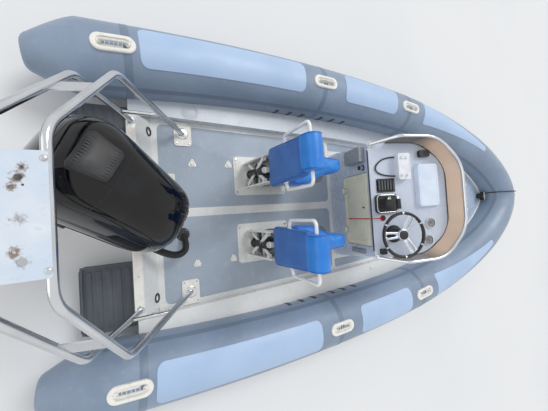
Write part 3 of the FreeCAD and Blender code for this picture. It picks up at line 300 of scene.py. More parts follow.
def coated_fabric(name, colour, worn, dusty):
    """Coated tube fabric: matt skin with a fine weave showing through."""
    made = Finish(name, colour, 0.46)
    made.mottle(worn, 0.5, 0.42, 0.72, 0.7).mottle(dusty, 0.05, 0.55, 0.8, 0.35)
    made.gloss_from(0.15, 0.08)
    made.relief(made.cloud(0.35, 2.0), 0.003).relief(made.cells(0.0016), 0.00012)
    made.skin.inputs["Sheen Weight"].default_value = 0.08
    return made


tube_fabric = coated_fabric("tube_fabric", (126, 143, 165), (144, 163, 188), (160, 170, 180))
panel_fabric = coated_fabric("panel_fabric", (176, 201, 233), (160, 186, 220), (190, 200, 208))
tape_fabric = coated_fabric("tape_fabric", (110, 127, 149), (120, 137, 160), (140, 148, 156))

collar = Moulding("collar_tubes")
around = [2 * math.pi * i / TUBE_SIDES for i in range(TUBE_SIDES)]


def tail_rings(side):
    """Rings of a tail, from its rounded tip to the first tube station."""
    end = 0 if side > 0 else len(tube_line) - 1
    base = Vector(tube_line[end][:3])
    back = Vector(tube_ahead[end]) * (-1 if side > 0 else 1)
    out, up = Vector(tube_out[end]), Vector(tube_up[end])
    rows = [(0.290, 0.004), (0.292, 0.05), (0.288, 0.082), (0.278, 0.098), (0.262, 0.110)]
    rows += [(0.25 * k / 12, 0.235 - 0.119 * (k / 12) ** 1.25) for k in range(12, 0, -1)]
    rings = []
    for away, reach in rows:
        centre = base + back * away
        rings.append([centre + (out * math.cos(a) + up * math.sin(a)) * reach for a in around])
    return rings


tube_rings = [[tube_point(i, a) for a in around] for i in range(len(tube_line))]
collar.skin(tail_rings(1) + tube_rings + tail_rings(-1)[::-1], tube_fabric)


TAPE_HALF = 0.025
TAPE_EDGE = [(-1.0, -0.001), (-0.98, 0.00091), (-0.9, 0.0013)]


def seam_tape(where):
    """A tape glued round the tube over a panel seam."""
    turns = [2 * math.pi * i / 71 for i in range(72)]
    cross = TAPE_EDGE + [(-w, up) for w, up in reversed(TAPE_EDGE)]
    rings = [[tube_point(where + TAPE_HALF / TUBE_STEP * w, a, up) for a in turns] for w, up in cross]
    collar.skin(rings, tape_fabric, ends=(False, False), loop=False)


for side in (1, -1):
    for x in (0.02, 1.62, 2.76):
        seam_tape(tube_where(x, side))
for angle in (math.radians(158), math.radians(-118)):
    rows = []
    for turn, lift in ((-0.09, -0.001), (-0.085, 0.0014), (0.085, 0.0014), (0.09, -0.001)):
        rows.append([tube_point(i, angle + turn, lift) for i in range(len(tube_line))])
    collar.skin(rows, tape_fabric, ends=(False, False), loop=False)
collar.ride("boat", "tube_collar")

DOUBLER_RUNS = [(0.095, 1.400, 0.05, 0), (1.860, 2.560, 0.05, 0), (2.990, 4.120, 0.026, 1)]
DOUBLER_INBOARD = 0.118
DOUBLER_OUTBOARD = 0.145
DOUBLER_LIFT = 0.004
doublers = Moulding("tube_wear_panels")


def glued_panel(side, first, last, corner, taper):
    """A panel with rounded corners glued over the tube, its edge rolled down."""
    low, high = sorted((tube_where(first, side), tube_where(last, side)))
    length = (high - low) * TUBE_STEP
    run = [corner * (1 - math.cos(math.pi / 2 * k / 7)) for k in range(8)]
    middle = np.linspace(run[-1], length - run[-1], max(4, int(length / 0.04)))[1:-1]
    spots = run + list(middle) + [length - d for d in reversed(run)]
    points, faces = [], []
    for place in spots:
        edge = max(0.0, corner - min(place, length - place))
        inset = corner - math.sqrt(max(0.0, corner ** 2 - edge ** 2))
        share = place / length if side > 0 else 1 - place / length
        narrow = 1 - 0.75 * taper * share
        a, b = DOUBLER_INBOARD * narrow - inset, DOUBLER_OUTBOARD * narrow - inset
        where = low + place / TUBE_STEP
        radius = tube_line[int(where)][3]
        turns = np.linspace(math.pi / 2 - math.asin(b / radius), math.pi / 2 + math.asin(a / radius), 20)
        edge_turn = 0.002 / radius
        line = [(turns[0] - edge_turn, -0.001), (turns[0] - edge_turn * 0.4, DOUBLER_LIFT * 0.75)]
        line += [(t, DOUBLER_LIFT) for t in turns]
        line += [(turns[-1] + edge_turn * 0.4, DOUBLER_LIFT * 0.75), (turns[-1] + edge_turn, -0.001)]
        points.append([tube_point(where, t, u) for t, u in line])
    count = len(points[0])
    flat = [p for row in points for p in row]
    for row in range(len(points) - 1):
        for i in range(count - 1):
            a = row * count + i
            faces.append((a, a + 1, a + count + 1, a + count))
    for row, where, shift in ((0, low, -0.06), (len(points) - 1, high, 0.06)):
        start = len(flat)
        drop = tube_point(where + shift, math.pi / 2, -0.004) - tube_point(where, math.pi / 2, DOUBLER_LIFT)
        flat += [p + drop for p in points[row]]
        for i in range(count - 1):
            faces.append((row * count + i, row * count + i + 1, start + i + 1, start + i))
    doublers.sheet(flat, faces, panel_fabric)


for side in (1, -1):
    for first, last, corner, taper in DOUBLER_RUNS:
        glued_panel(side, first, last, corner, taper)
doublers.ride("boat", "tube_doublers", keep=50)


# Deck: the sole is gelcoated with moulded non-slip areas between smooth margins and
# a smooth white stripe down the middle. Screwed lugs, pads and an access plate are
# white castings on it, each with its fastenings.

def rounded_outline(corners, radii, steps=6):
    """Points round a flat outline with rounded corners."""
    count = len(corners)
    radii = radii if isinstance(radii, (list, tuple)) else [radii] * count
    spots = []
    for i in range(count):
        here = Vector(corners[i]).to_2d()
        back = (Vector(corners[i - 1]).to_2d() - here).normalized()
        ahead = (Vector(corners[(i + 1) % count]).to_2d() - here).normalized()
        half = back.angle(ahead) / 2
        reach = radii[i] / math.tan(half)
        centre = here + (back + ahead).normalized() * (radii[i] / math.sin(half))
        first = here + back * reach - centre
        turn = -first.angle_signed(here + ahead * reach - centre)
        for k in range(steps + 1):
            bend = Matrix.Rotation(turn * k / steps, 2)
            spots.append(centre + bend @ first)
    return spots


def oblong_at(x0, x1, y0, y1, radii, steps=6):
    """Outline of a rectangle with rounded corners."""
    return rounded_outline([(x0, y0), (x1, y0), (x1, y1), (x0, y1)], radii, steps)


def oblong(half_x, half_y, radii, steps=6):
    """Such a rectangle about the origin."""
    return oblong_at(-half_x, half_x, -half_y, half_y, radii, steps)


def drawn_in(outline, depth):
    """The outline moved inwards."""
    flat = np.array([tuple(p) for p in outline])
    ahead = np.roll(flat, -1, 0) - np.roll(flat, 1, 0)
    length = np.linalg.norm(ahead, axis=1)
    ahead = ahead / np.maximum(length, 1e-9)[:, None]
    turn = np.sum(flat[:, 0] * np.roll(flat[:, 1], -1) - np.roll(flat[:, 0], -1) * flat[:, 1])
    inward = np.stack([-ahead[:, 1], ahead[:, 0]], 1) * (1 if turn > 0 else -1)
    return flat + inward * depth


def stacked(outline, levels):
    """Rings from the outline at levels of (inset, height)."""
    return [[(x, y, height) for x, y in drawn_in(outline, inset)] for inset, height in levels]


def slab(moulding, outline, low, high, edge, finish, place=None, steps=3):
    """A flat plate whose upper edge is rounded over."""
    levels = [(0.0, low)]
    for k in range(steps + 1):
        turn = math.pi / 2 * k / steps
        levels.append((edge * (1 - math.cos(turn)), high - edge * (1 - math.sin(turn))))
    moulding.skin(stacked(outline, levels), finish, place)


def circle(count):
    """Cosine and sine of count even turns."""
    return [(math.cos(2 * math.pi * i / count), math.sin(2 * math.pi * i / count)) for i in range(count)]


def lathe(moulding, profile, finish, place, sides, ends=(True, True)):
    """A turned shape from (radius, height) points about Z."""
    rings = [[(reach * c, reach * s, height) for c, s in circle(sides)] for reach, height in profile]
    moulding.skin(rings, finish, place, ends)


def at(x, y, z, turn_z=0.0, turn_y=0.0, turn_x=0.0):
    """Place with turns in degrees."""
    place = Matrix.Translation((x, y, z))
    for turn, axis in ((turn_z, "Z"), (turn_y, "Y"), (turn_x, "X")):
        place = place @ Matrix.Rotation(math.radians(turn), 4, axis)
    return place


def screw_head(moulding, place, reach, finish):
    """A countersunk screw head with its cross slot."""
    lathe(moulding, [(reach, 0), (reach, reach * 0.2), (reach * 0.8, reach * 0.42), (0.0004, reach * 0.5)],
          finish, place, 14)
    for turn in (0, 90):
        bar = oblong(reach * 0.6, reach * 0.1, reach * 0.09, 1)
        slab(moulding, bar, reach * 0.3, reach * 0.53, reach * 0.02, socket_black, place @ at(0, 0, 0, turn),
             1)


SOLE = 0.170
non_slip = Finish("deck_non_slip", (176, 189, 204), 0.62)
non_slip.mottle((158, 171, 186), 0.7, 0.4, 0.7, 0.7).mottle((196, 200, 200), 0.06, 0.52, 0.8, 0.5)
non_slip.mottle((128, 134, 138), 0.025, 0.66, 0.85, 0.35).gloss_from(0.1, 0.12)
non_slip.relief(non_slip.cells(0.0052), 0.0011)
white_casting = Finish("white_casting", (238, 236, 230), 0.32, coat=0.2)
white_casting.mottle((216, 213, 202), 0.05, 0.5, 0.75, 0.5).gloss_from(0.03, 0.1)
socket_black = Finish("socket_black", (22, 22, 24), 0.5).mottle((40, 38, 36), 0.01)
stainless = Finish("stainless", (205, 207, 210), 0.16, metal=1.0)
stainless.mottle((168, 170, 172), 0.2, 0.4, 0.75, 0.6).mottle((150, 120, 90), 0.03, 0.68, 0.85, 0.4)
stainless.gloss_from(0.05, 0.08).relief(stainless.cloud(0.004, 2.0, (1, 1, 6)), 0.00006)

deck = Moulding("deck_non_slip_panels")


def half_at(x):
    """Half breadth of the cockpit sole at x."""
    return float(np.interp(x, [0.0, 1.9, 2.9, 3.72], [0.735, 0.690, 0.635, 0.500]))


for side in (1, -1):
    aft = [(0.215, 0.035), (1.868, 0.035), (1.868, half_at(1.868) - 0.035), (0.215, half_at(0.215) - 0.035)]
    fore = [(2.640, 0.035), (3.680, 0.035), (3.680, half_at(3.68) - 0.035), (2.640, half_at(2.64) - 0.035)]
    beside = [(1.900, 0.572), (2.600, 0.572), (2.600, half_at(2.6) - 0.03), (1.900, half_at(1.9) - 0.03)]
    for plan, corner in ((aft, 0.045), (fore, 0.045), (beside, 0.02)):
        points = [(x, y * side) for x, y in plan]
        outline = rounded_outline(points[::side], corner)
        slab(deck, outline, SOLE - 0.002, SOLE + 0.0012, 0.001, non_slip, steps=2)
deck.ride("boat")

fastenings = Moulding("deck_fastenings")
for x, y in ((0.470, 0.395), (0.778, 0.395), (0.470, -0.410), (0.778, -0.410)):
    for dx, dy in ((-0.027, -0.017), (0.027, -0.017), (0.0, 0.027)):
        screw_head(fastenings, at(x + dx, y + dy, SOLE + 0.007, 30), 0.0055, stainless)
for x, y in ((0.252, 0.232), (0.314, 0.232), (0.314, 0.292), (0.252, 0.292)):
    screw_head(fastenings, at(x, y, SOLE + 0.005, 12), 0.005, stainless)
for side in (1, -1):
    for dx, dy in ((-0.048, -0.075), (0.048, -0.075), (0.048, 0.075), (-0.048, 0.075)):
        screw_head(fastenings, at(0.405 + dx, side * 0.626 + dy, SOLE + 0.012, 20), 0.007, stainless)
fastenings.ride("boat")
white_casting.on("deck_fittings")


# Transom: a raked panel with a sloped inner face, capped along its top, with two
# scuppers in flanged rings and a rubber pad where the engine clamps.
trim_rubber = Finish("trim_rubber", (52, 54, 58), 0.7).mottle((80, 82, 84), 0.06)
trim_rubber.relief(trim_rubber.cells(0.003), 0.0003)
caps = Moulding("transom_caps")
CAP_TOP = 0.3335
for side in (1, -1):
    strip = oblong_at(0.004, 0.058, 0.185, 0.655, 0.012)
    strip = [(x, y * side) for x, y in strip][::side]
    slab(caps, strip, 0.3285, CAP_TOP, 0.003, white_casting)
    for y in (0.22, 0.42, 0.62):
        screw_head(caps, at(0.031, y * side, CAP_TOP, 40), 0.005, stainless)
    scupper = at(0.1555, side * 0.62, 0.196, 0, 55.5)
    lathe(caps, mm((21, -4), (34, -4), (36, 1), (33, 4), (22, 4), (21, -4)), trim_rubber, scupper, 32,
          (False, False))
pad = oblong_at(0.001, 0.061, -0.155, 0.155, 0.01)
slab(caps, pad, 0.3288, 0.3302, 0.0008, trim_rubber)
caps.ride("boat")


# Ledges: on the port shelf a round inspection cover lies flush in a moulded ring; on
# the starboard one sits a small white fitting. The tube's lashing tabs hang over both.
ledges = Moulding("ledge_fittings")
cover_place = at(0.453, 0.787, 0.2505)
ring = mm((58, 0), (66, 0), (66, 1.6), (64, 2.6), (60, 2.6), (58, 1.6), (58, 0))
lathe(ledges, ring, ledge_grey, cover_place, 56, (False, False))
lathe(ledges, mm((55.5, -1), (55.5, 0.6), (54, 1.3), (0.4, 1.3)), ledge_grey, cover_place, 56)
slab(ledges, oblong(0.03, 0.016, 0.012), 0.0, 0.010, 0.004, white_casting, at(2.36, -0.722, 0.2515, -4))
ledges.ride("boat")
rubber_tab = Finish("rubber_tab", (60, 66, 74), 0.6).mottle((86, 94, 104), 0.03)
tabs = Moulding("lashing_tabs")
for side in (1, -1):
    for x in (1.22, 1.36, 1.50, 1.72, 1.86, 2.00):
        where = tube_where(x, side)
        rows = []
        for step, lift in ((-0.55, -0.001), (-0.5, 0.003), (0.5, 0.003), (0.55, -0.001)):
            turns = [math.radians(a) for a in (172, 177, 184, 190, 196)]
            rows.append([tube_point(where + step, a, lift) for a in turns])
        tabs.skin(rows, rubber_tab, ends=(False, False), loop=False)
tabs.ride("boat")


# Deck lip: a rounded white edge moulded on the bow deck, where the deck meets the
# inner side of the tubes.

def swept(moulding, path, reach, finish, sides, wrap=False):
    """A bar along a path, its width given or one for each point."""
    path = [Vector(p) for p in path]
    count = len(path)
    widths = reach if isinstance(reach, (list, tuple, np.ndarray)) else [reach] * count
    rings = []
    cross = None
    for i, spot in enumerate(path):
        before = path[i - 1] if i or wrap else spot
        after = path[(i + 1) % count] if i < count - 1 or wrap else spot
        ahead = (after - before).normalized()
        if cross is None:
            cross = ahead.orthogonal().normalized() if abs(ahead.z) > 0.9 else Vector((0, 0, 1))
        cross = (cross - ahead * cross.dot(ahead)).normalized()
        other = ahead.cross(cross)
        rings.append([spot + (other * c + cross * s) * widths[i] for c, s in circle(sides)])
    moulding.skin(rings, finish, wrap=wrap)


DECK_EDGE = mm((3740, 505), (3800, 484), (3877, 452), (3955, 418), (4030, 383), (4104, 342),
               (4178, 298), (4250, 250), (4319, 196), (4388, 138), (4432, 84), (4455, 55))
lip_white = Finish("deck_lip_white", (236, 238, 238), 0.3, coat=0.15)
lip_white.mottle((214, 214, 208), 0.05, 0.55, 0.8, 0.5)
LIP_Z, LIP_REACH = 0.4245, 0.0105
lip = Moulding("bow_deck_lip")
for side in (1, -1):
    swept(lip, [(x, side * y, LIP_Z) for x, y in DECK_EDGE], LIP_REACH, lip_white, 16)
lip.ride("boat")


# Tube handles: moulded white rubber, an oval base glued to the tube with a dished
# middle and a rolled grip bar across it.

def stadium(length, width, height):
    """Oval ring with straight sides."""
    straight = (length - width) / 2
    return [(math.copysign(straight, c) + width / 2 * c, width / 2 * s, height) for c, s in circle(48)]


def bent_line(points, radii, step=5.0):
    """Straight runs joined by tangent arcs, as a tube bender makes them."""
    spots = [Vector(p) for p in points]
    radii = radii if isinstance(radii, (list, tuple)) else [radii] * (len(spots) - 2)
    line = [spots[0]]
    for i in range(1, len(spots) - 1):
        back = (spots[i - 1] - spots[i]).normalized()
        ahead = (spots[i + 1] - spots[i]).normalized()
        half = back.angle(ahead) / 2
        reach = radii[i - 1] / math.tan(half)
        centre = spots[i] + (back + ahead).normalized() * (radii[i - 1] / math.sin(half))
        first = spots[i] + back * reach - centre
        axis = first.cross(spots[i] + ahead * reach - centre).normalized()
        turn = math.pi - 2 * half
        count = max(2, int(math.degrees(turn) / step))
        for k in range(count + 1):
            line.append(centre + Matrix.Rotation(turn * k / count, 3, axis) @ first)
    return line + [spots[-1]]


handle_rubber = Finish("handle_rubber", (240, 239, 234), 0.5)
handle_rubber.mottle((214, 210, 198), 0.03, 0.5, 0.75, 0.6).relief(handle_rubber.cells(0.0014), 0.0001)
grip_rubber = Finish("grip_rubber", (226, 225, 220), 0.55).mottle((190, 186, 176), 0.02, 0.5, 0.75, 0.6)
handles = Moulding("tube_handle_set")
for side in (1, -1):
    for x in (-0.050, 1.616, 2.760):
        where = tube_where(x, side)
        spot = tube_point(where, math.pi / 2, 0.001)
        i = int(where)
        ahead = Vector(tube_ahead[i]) * side
        up = Vector(tube_up[i])
        place = Matrix((ahead, up.cross(ahead), up)).transposed().to_4x4()
        place.translation = spot
        base = mm((250, 105, -12), (252, 107, 3), (249, 104, 8), (240, 95, 11.5), (205, 72, 12.5),
                  (192, 64, 11), (186, 59, 4), (180, 54, -0.5), (140, 20, -1.5))
        handles.skin([stadium(*row) for row in base], handle_rubber, place)
        for rib in range(-2, 3):
            foot = oblong(0.002, 0.024, 0.0015, 1)
            slab(handles, foot, -0.001, 0.0015, 0.0006, handle_rubber, place @ at(rib * 0.024, 0, 0), 1)
        route = [(-0.084, 0, 0.002), (-0.066, 0, 0.030), (0.066, 0, 0.030), (0.084, 0, 0.002)]
        bar = [place @ p for p in bent_line(route, 0.02)]
        swept(handles, bar, 0.0088, grip_rubber, 14)
        for end in (-1, 1):
            lathe(handles, mm((17, 0), (16.5, 6), (11, 13), (4, 15)), handle_rubber,
                  place @ at(end * 0.080, 0, 0.003), 20)
handles.ride("boat", "tube_handles")


# Bow: a cream hatch on two hinges in the moulded deck, a stainless mooring post, a
# white wear plate on the tube's nose and a towing eye.
hatch_cream = Finish("hatch_cream", (240, 236, 220), 0.45)
hatch_cream.mottle((222, 216, 196), 0.2, 0.45, 0.72, 0.6).relief(hatch_cream.cells(0.005), 0.0006)
hatch_cream.on("locker_lid")
hatch = Moulding("hatch_non_slip_and_latch")
latch_place = at(3.884, 0.0, 0.4345)
field = oblong_at(3.862, 4.052, -0.272, 0.272, 0.022)
slab(hatch, field, 0.4335, 0.4358, 0.0012, hatch_cream)
lathe(hatch, mm((24, 0), (24, 3), (21, 4.5), (17, 4), (16.5, 1.5), (0.4, 1.5)), stainless, latch_place, 28)
slab(hatch, oblong(0.012, 0.004, 0.003, 2), 0.001, 0.005, 0.0015, stainless, latch_place @ at(0, 0, 0, 35))
hatch.ride("locker_lid_body")
bow_white = Finish("bow_plate_white", (232, 233, 230), 0.4).mottle((205, 206, 200), 0.05)
bow_white.gloss_from(0.03, 0.1).on("bow_plate")
stainless.on("bow_post", "bow_eye")


# Stern steps: a moulded ledge each side of the motor, outside the transom, faced with
# dark rubber treads against slipping.
step_rubber = Finish("stern_step", (82, 88, 96), 0.58)
step_rubber.mottle((104, 108, 112), 0.2, 0.45, 0.7, 0.7).mottle((60, 58, 54), 0.05, 0.55, 0.8, 0.5)
step_rubber.relief(step_rubber.cells(0.008), 0.0009).on("stern_steps")
steps = Moulding("stern_step_treads")
for side in (1, -1):
    for x in (-0.265, -0.205, -0.145, -0.085, -0.025):
        tread = oblong_at(x - 0.017, x + 0.017, 0.372, 0.770, 0.008, 3)
        tread = [(px, py * side) for px, py in tread][::side]
        slab(steps, tread, 0.149, 0.1535, 0.002, step_rubber)
steps.ride("boat")


# Stern arch: two hoops of polished stainless tube, bent cold and welded to their
# braces and gussets, with a drilled white mounting plate bolted across the crown.
ARCH_TUBE = 0.019
BRACE_TUBE = 0.0125
FRONT_HOOP = (0.4115, 0.6251, 0.170), (-0.055, 0.692, 0.905), (-0.275, 0.300, 1.256)
REAR_HOOP = (0.0385, 0.650, 0.3145), (-0.230, 0.656, 0.905), (-0.450, 0.300, 1.256)


def other_side(spot):
    """The point's mirror image."""
    return (spot[0], -spot[1], spot[2])


arch = Moulding("arch_tubes")
for hoop in (FRONT_HOOP, REAR_HOOP):
    route = [*hoop, *[other_side(spot) for spot in reversed(hoop)]]
    swept(arch, bent_line(route, [0.110, 0.140, 0.140, 0.110], 3.0), ARCH_TUBE, stainless, 28)


def weld(moulding, spot, ahead, reach):
    """A rippled weld bead round a tube end."""
    ahead = Vector(ahead).normalized()
    side = ahead.orthogonal().normalized()
    up = ahead.cross(side)
    ring = []
    for k, (c, s) in enumerate(circle(48)):
        ring.append(Vector(spot) + (side * c + up * s) * (reach + 0.0006 * math.sin(k * 2.6)))
    swept(moulding, ring, 0.0026, weld_steel, 8, wrap=True)


weld_steel = Finish("weld_steel", (150, 150, 152), 0.36, metal=1.0)
weld_steel.mottle((120, 92, 66), 0.01, 0.5, 0.7, 0.7).relief(weld_steel.cloud(0.003), 0.0003)
BRACE_Z = 0.480


def at_brace(low, high):
    """Where the run between two points passes the brace's height."""
    return Vector(low).lerp(Vector(high), (BRACE_Z - low[2]) / (high[2] - low[2]))


front_low = at_brace((0.405, 0.626, 0.182), FRONT_HOOP[1])
rear_low = at_brace((0.031, 0.650, 0.330), REAR_HOOP[1])
for side in (1, -1):
    a, b = [Vector((low.x, low.y * side, low.z)) for low in (front_low, rear_low)]
    swept(arch, [a, a.lerp(b, 0.33), a.lerp(b, 0.66), b], BRACE_TUBE, stainless, 20)
    for end, back in ((a, b), (b, a)):
        weld(arch, end + (back - end).normalized() * 0.0205, back - end, BRACE_TUBE + 0.0012)
    lathe(arch, mm((45, 0), (45, 4), (42, 6), (21.5, 6), (20, 12), (19.2, 13)), stainless,
          at(0.404, side * 0.626, 0.1818), 40)
    lathe(arch, mm((29, 0), (29, 4), (27, 6), (21.5, 6), (20, 11), (19.2, 12)), stainless,
          at(0.032, side * 0.650, 0.3302), 40)
arch.ride("boat", "arch_frame")
stainless.on("arch_side_plates")

plate_paint = Finish("arch_plate_paint", (206, 220, 236), 0.38, coat=0.2)
plate_paint.mottle((228, 234, 240), 0.12, 0.4, 0.7, 0.8).mottle((176, 186, 198), 0.03, 0.6, 0.8, 0.5)
plate_paint.stains([(-0.335, 0.154, 1.283), (-0.363, 0.091, 1.283)], 0.017, (112, 70, 40))
plate_paint.stains([(-0.363, -0.115, 1.283), (-0.346, 0.121, 1.283)], 0.022, (126, 88, 54))
plate_paint.stains([(-0.346, -0.012, 1.283), (-0.344, -0.148, 1.283)], 0.021, (110, 100, 92), 0.5)
plate_paint.relief(plate_paint.cloud(0.02), 0.0005).on("arch_top_plate")
PLATE_TOP = 1.2832
bolts = Moulding("arch_plate_bolts")
for x in (-0.454, -0.279):
    for y in (-0.185, 0.185):
        lathe(bolts, mm((12, 0), (12, 1.5), (8.5, 1.5), (8.5, 6), (7, 6.8), (0.4, 7)), stainless,
              at(x, y, PLATE_TOP, 15), 24)
bolts.ride("boat")


# Seats: suspension seats on white powder-coated bases. Each has an upright frame with
# crossed links and a coil-over strut, a glossy grey moulded pod, and upholstery of
# blue vinyl with piped seams over foam, swollen here as stuffed covers are.
SEAT_LANES = (0.295, -0.295)
STRUT_X = 0.951
COIL_REACH, COIL_FOOT, COIL_HIGH = 0.034, 0.262, 0.232
powder_white = Finish("powder_white", (236, 237, 234), 0.36).mottle((206, 205, 196), 0.05, 0.5, 0.75, 0.5)
powder_white.mottle((120, 84, 54), 0.012, 0.72, 0.86, 0.5).gloss_from(0.04, 0.1)
powder_white.on("seat_bases", "seat_suspensions")
spring_steel = Finish("spring_steel", (58, 58, 60), 0.4, metal=0.6)
spring_steel.mottle((110, 70, 44), 0.02, 0.55, 0.8, 0.6)
pod_gloss = Finish("pod_gloss", (84, 88, 94), 0.16, coat=0.6)
pod_gloss.mottle((104, 108, 114), 0.3).gloss_from(0.1, 0.06).relief(pod_gloss.cloud(0.08, 2.0), 0.0008)
pod_gloss.on("seat_pods")
chrome = Finish("chrome", (226, 228, 230), 0.08, metal=1.0).mottle((196, 198, 200), 0.05)
chrome.gloss_from(0.02, 0.04)
running_gear = Moulding("seat_springs_and_bolts")
for lane in SEAT_LANES:
    coil = []
    for k in range(171):
        c, s = circle(20)[k % 20]
        coil.append((STRUT_X + COIL_REACH * c, lane + COIL_REACH * s, COIL_FOOT + COIL_HIGH * k / 170))
    swept(running_gear, coil, 0.0052, spring_steel, 8)
    for z in (0.252, 0.497):
        lathe(running_gear, mm((41, 0), (41, 8), (38, 10), (20, 10)), spring_steel, at(STRUT_X, lane, z), 28)
    for x, y in ((0.846, -0.142), (0.846, 0.142), (1.306, -0.142), (1.306, 0.142)):
        lathe(running_gear, mm((13, 0), (13, 2), (9, 2), (9, 8), (0.4, 8.5)), stainless,
              at(x, lane + y, 0.182, 20), 24)
    for y in (-0.098, 0.098):
        for z in (0.240, 0.540):
            lathe(running_gear, mm((11, 0), (11, 3), (7, 6), (0.4, 6.5)), stainless,
                  at(0.926, lane + y * 1.122, z, 0, 0, -90 if y > 0 else 90), 20)
    slab(running_gear, oblong(0.030, 0.006, 0.005, 3), 0.0, 0.005, 0.002, chrome,
         at(1.31, lane - 0.1205, 0.52, 0, 0, 90))
running_gear.ride("boat")

pipe_white = Finish("pipe_white", (240, 240, 238), 0.3, coat=0.3)
pipe_white.mottle((214, 213, 206), 0.05, 0.5, 0.75, 0.5)
seat_pipes = Moulding("seat_grab_pipes")
for lane in SEAT_LANES:
    half = [(0.962, 0.144, 0.801), (0.958, 0.190, 0.826), (0.927, 0.190, 1.150)]
    route = half + [other_side(p) for p in reversed(half)]
    route = [(x, y + lane, z) for x, y, z in route]
    swept(seat_pipes, bent_line(route, [0.018, 0.034, 0.034, 0.018], 6.0), 0.011, pipe_white, 18)
    for y in (0.139, -0.139):
        lathe(seat_pipes, mm((20, 0), (20, 3), (16, 6), (11.2, 7)), chrome,
              at(0.963, lane + y, 0.799, 0, 0, -62 if y > 0 else 62), 24)
seat_pipes.ride("boat", "seat_handles")


def vinyl(name, colour, worn, painted_shade):
    """Upholstery vinyl: fine grain, faded in patches, and darker patches of painted crease shade scattered
    at random.
    """
    made = Finish(name, colour, 0.36)
    made.mottle(worn, 0.16, 0.42, 0.7, 0.6).mottle(painted_shade, 0.05, 0.62, 0.82, 0.35)
    made.gloss_from(0.06, 0.07)
    made.relief(made.cloud(0.05, 3.0), 0.0012).relief(made.cells(0.0017), 0.00016)
    made.skin.inputs["Sheen Weight"].default_value = 0.05
    return made


# The last colour given to each vinyl is its painted shade, laid in random darker patches.
seat_blue = vinyl("seat_vinyl", (30, 122, 214), (52, 146, 232), (14, 86, 166))
back_blue = vinyl("seat_vinyl_back", (44, 100, 176), (66, 124, 196), (26, 78, 150))
saddle_blue = vinyl("seat_vinyl_saddle", (30, 122, 214), (52, 146, 232), (14, 86, 166))
piping_blue = vinyl("seat_piping", (16, 92, 178), (30, 112, 200), (8, 62, 132))


def stuffed(name, rings, cap, finish):
    """A closed cover, swollen by cloth simulation, with how far it may swell capped."""
    cover = Moulding(name)
    cover.skin(rings, finish)
    piece = cover.ride("boat")
    bpy.context.view_layer.objects.active = piece
    bpy.ops.object.select_all(action="DESELECT")
    piece.select_set(True)
    remesh = piece.modifiers.new("remesh", "REMESH")
    remesh.mode = "VOXEL"
    remesh.voxel_size = 0.006
    bpy.ops.object.modifier_apply(modifier="remesh")
    start = np.empty(len(piece.data.vertices) * 3)
    piece.data.vertices.foreach_get("co", start)
    cloth = piece.modifiers.new("swell", "CLOTH")
    cloth.settings.use_pressure = True
    cloth.settings.uniform_pressure_force = 4.0
    cloth.settings.effector_weights.gravity = 0.0
    cloth.settings.tension_stiffness = 25
    cloth.settings.shear_stiffness = 12
    cloth.settings.bending_stiffness = 3
    cloth.point_cache.frame_start, cloth.point_cache.frame_end = 1, 20
    for step in range(1, 21):
        bpy.context.scene.frame_set(step)
    bpy.ops.object.modifier_apply(modifier="swell")
    bpy.context.scene.frame_set(1)
    end = np.empty_like(start)
    piece.data.vertices.foreach_get("co", end)
    move = (end - start).reshape(-1, 3)
    far = np.linalg.norm(move, axis=1)
    scale = np.minimum(1.0, cap / np.maximum(far, 1e-9))
    piece.data.vertices.foreach_set("co", (start.reshape(-1, 3) + move * scale[:, None]).ravel())
    piece.data.update()
    smooth = piece.modifiers.new("smooth", "SMOOTH")
    smooth.factor, smooth.iterations = 0.5, 4
    round_over = piece.modifiers.new("round", "SUBSURF")
    round_over.levels = round_over.render_levels = 1
    for modifier in ("smooth", "round"):
        bpy.ops.object.modifier_apply(modifier=modifier)
    piece.data.shade_smooth()
    return piece


PIPING = 0.0038


def seam_on(piece, line, name):
    """Piping along a line, drawn onto the cover's skin."""
    mesh = piece.data
    skin = BVHTree.FromPolygons([v.co for v in mesh.vertices], [list(p.vertices) for p in mesh.polygons])
    spots = []
    for p in line:
        near, normal, _, _ = skin.find_nearest(Vector(p))
        spots.append(near + normal * PIPING * 0.35)
    for _ in range(2):
        spots = [(spots[i - 1] + spots[i] * 2 + spots[(i + 1) % len(spots)]) / 4 for i in range(len(spots))]
    cord_piece = Moulding(name)
    swept(cord_piece, spots, PIPING, piping_blue, 8, wrap=True)
    cord_piece.ride("boat")


CUSHION_PLAN = mm((1011, 150), (1170, 146), (1330, 68), (1482, 55))
CUSHION_RADII = [0.040, 0.120, 0.120, 0.040]


def cushion_section(inset, height, lane, droop):
    """Plan of the saddle cushion at one level, its nose lifted by droop."""
    plan = [(x, -y) for x, y in CUSHION_PLAN] + [(x, y) for x, y in reversed(CUSHION_PLAN)]
    outline = drawn_in(rounded_outline(plan, CUSHION_RADII + CUSHION_RADII[::-1], 6), inset)
    ring = []
    for x, y in outline:
        lift = droop * max(0.0, (x - 1.40) / 0.09) ** 1.2
        ring.append((x, y + lane, height + lift))
    return ring


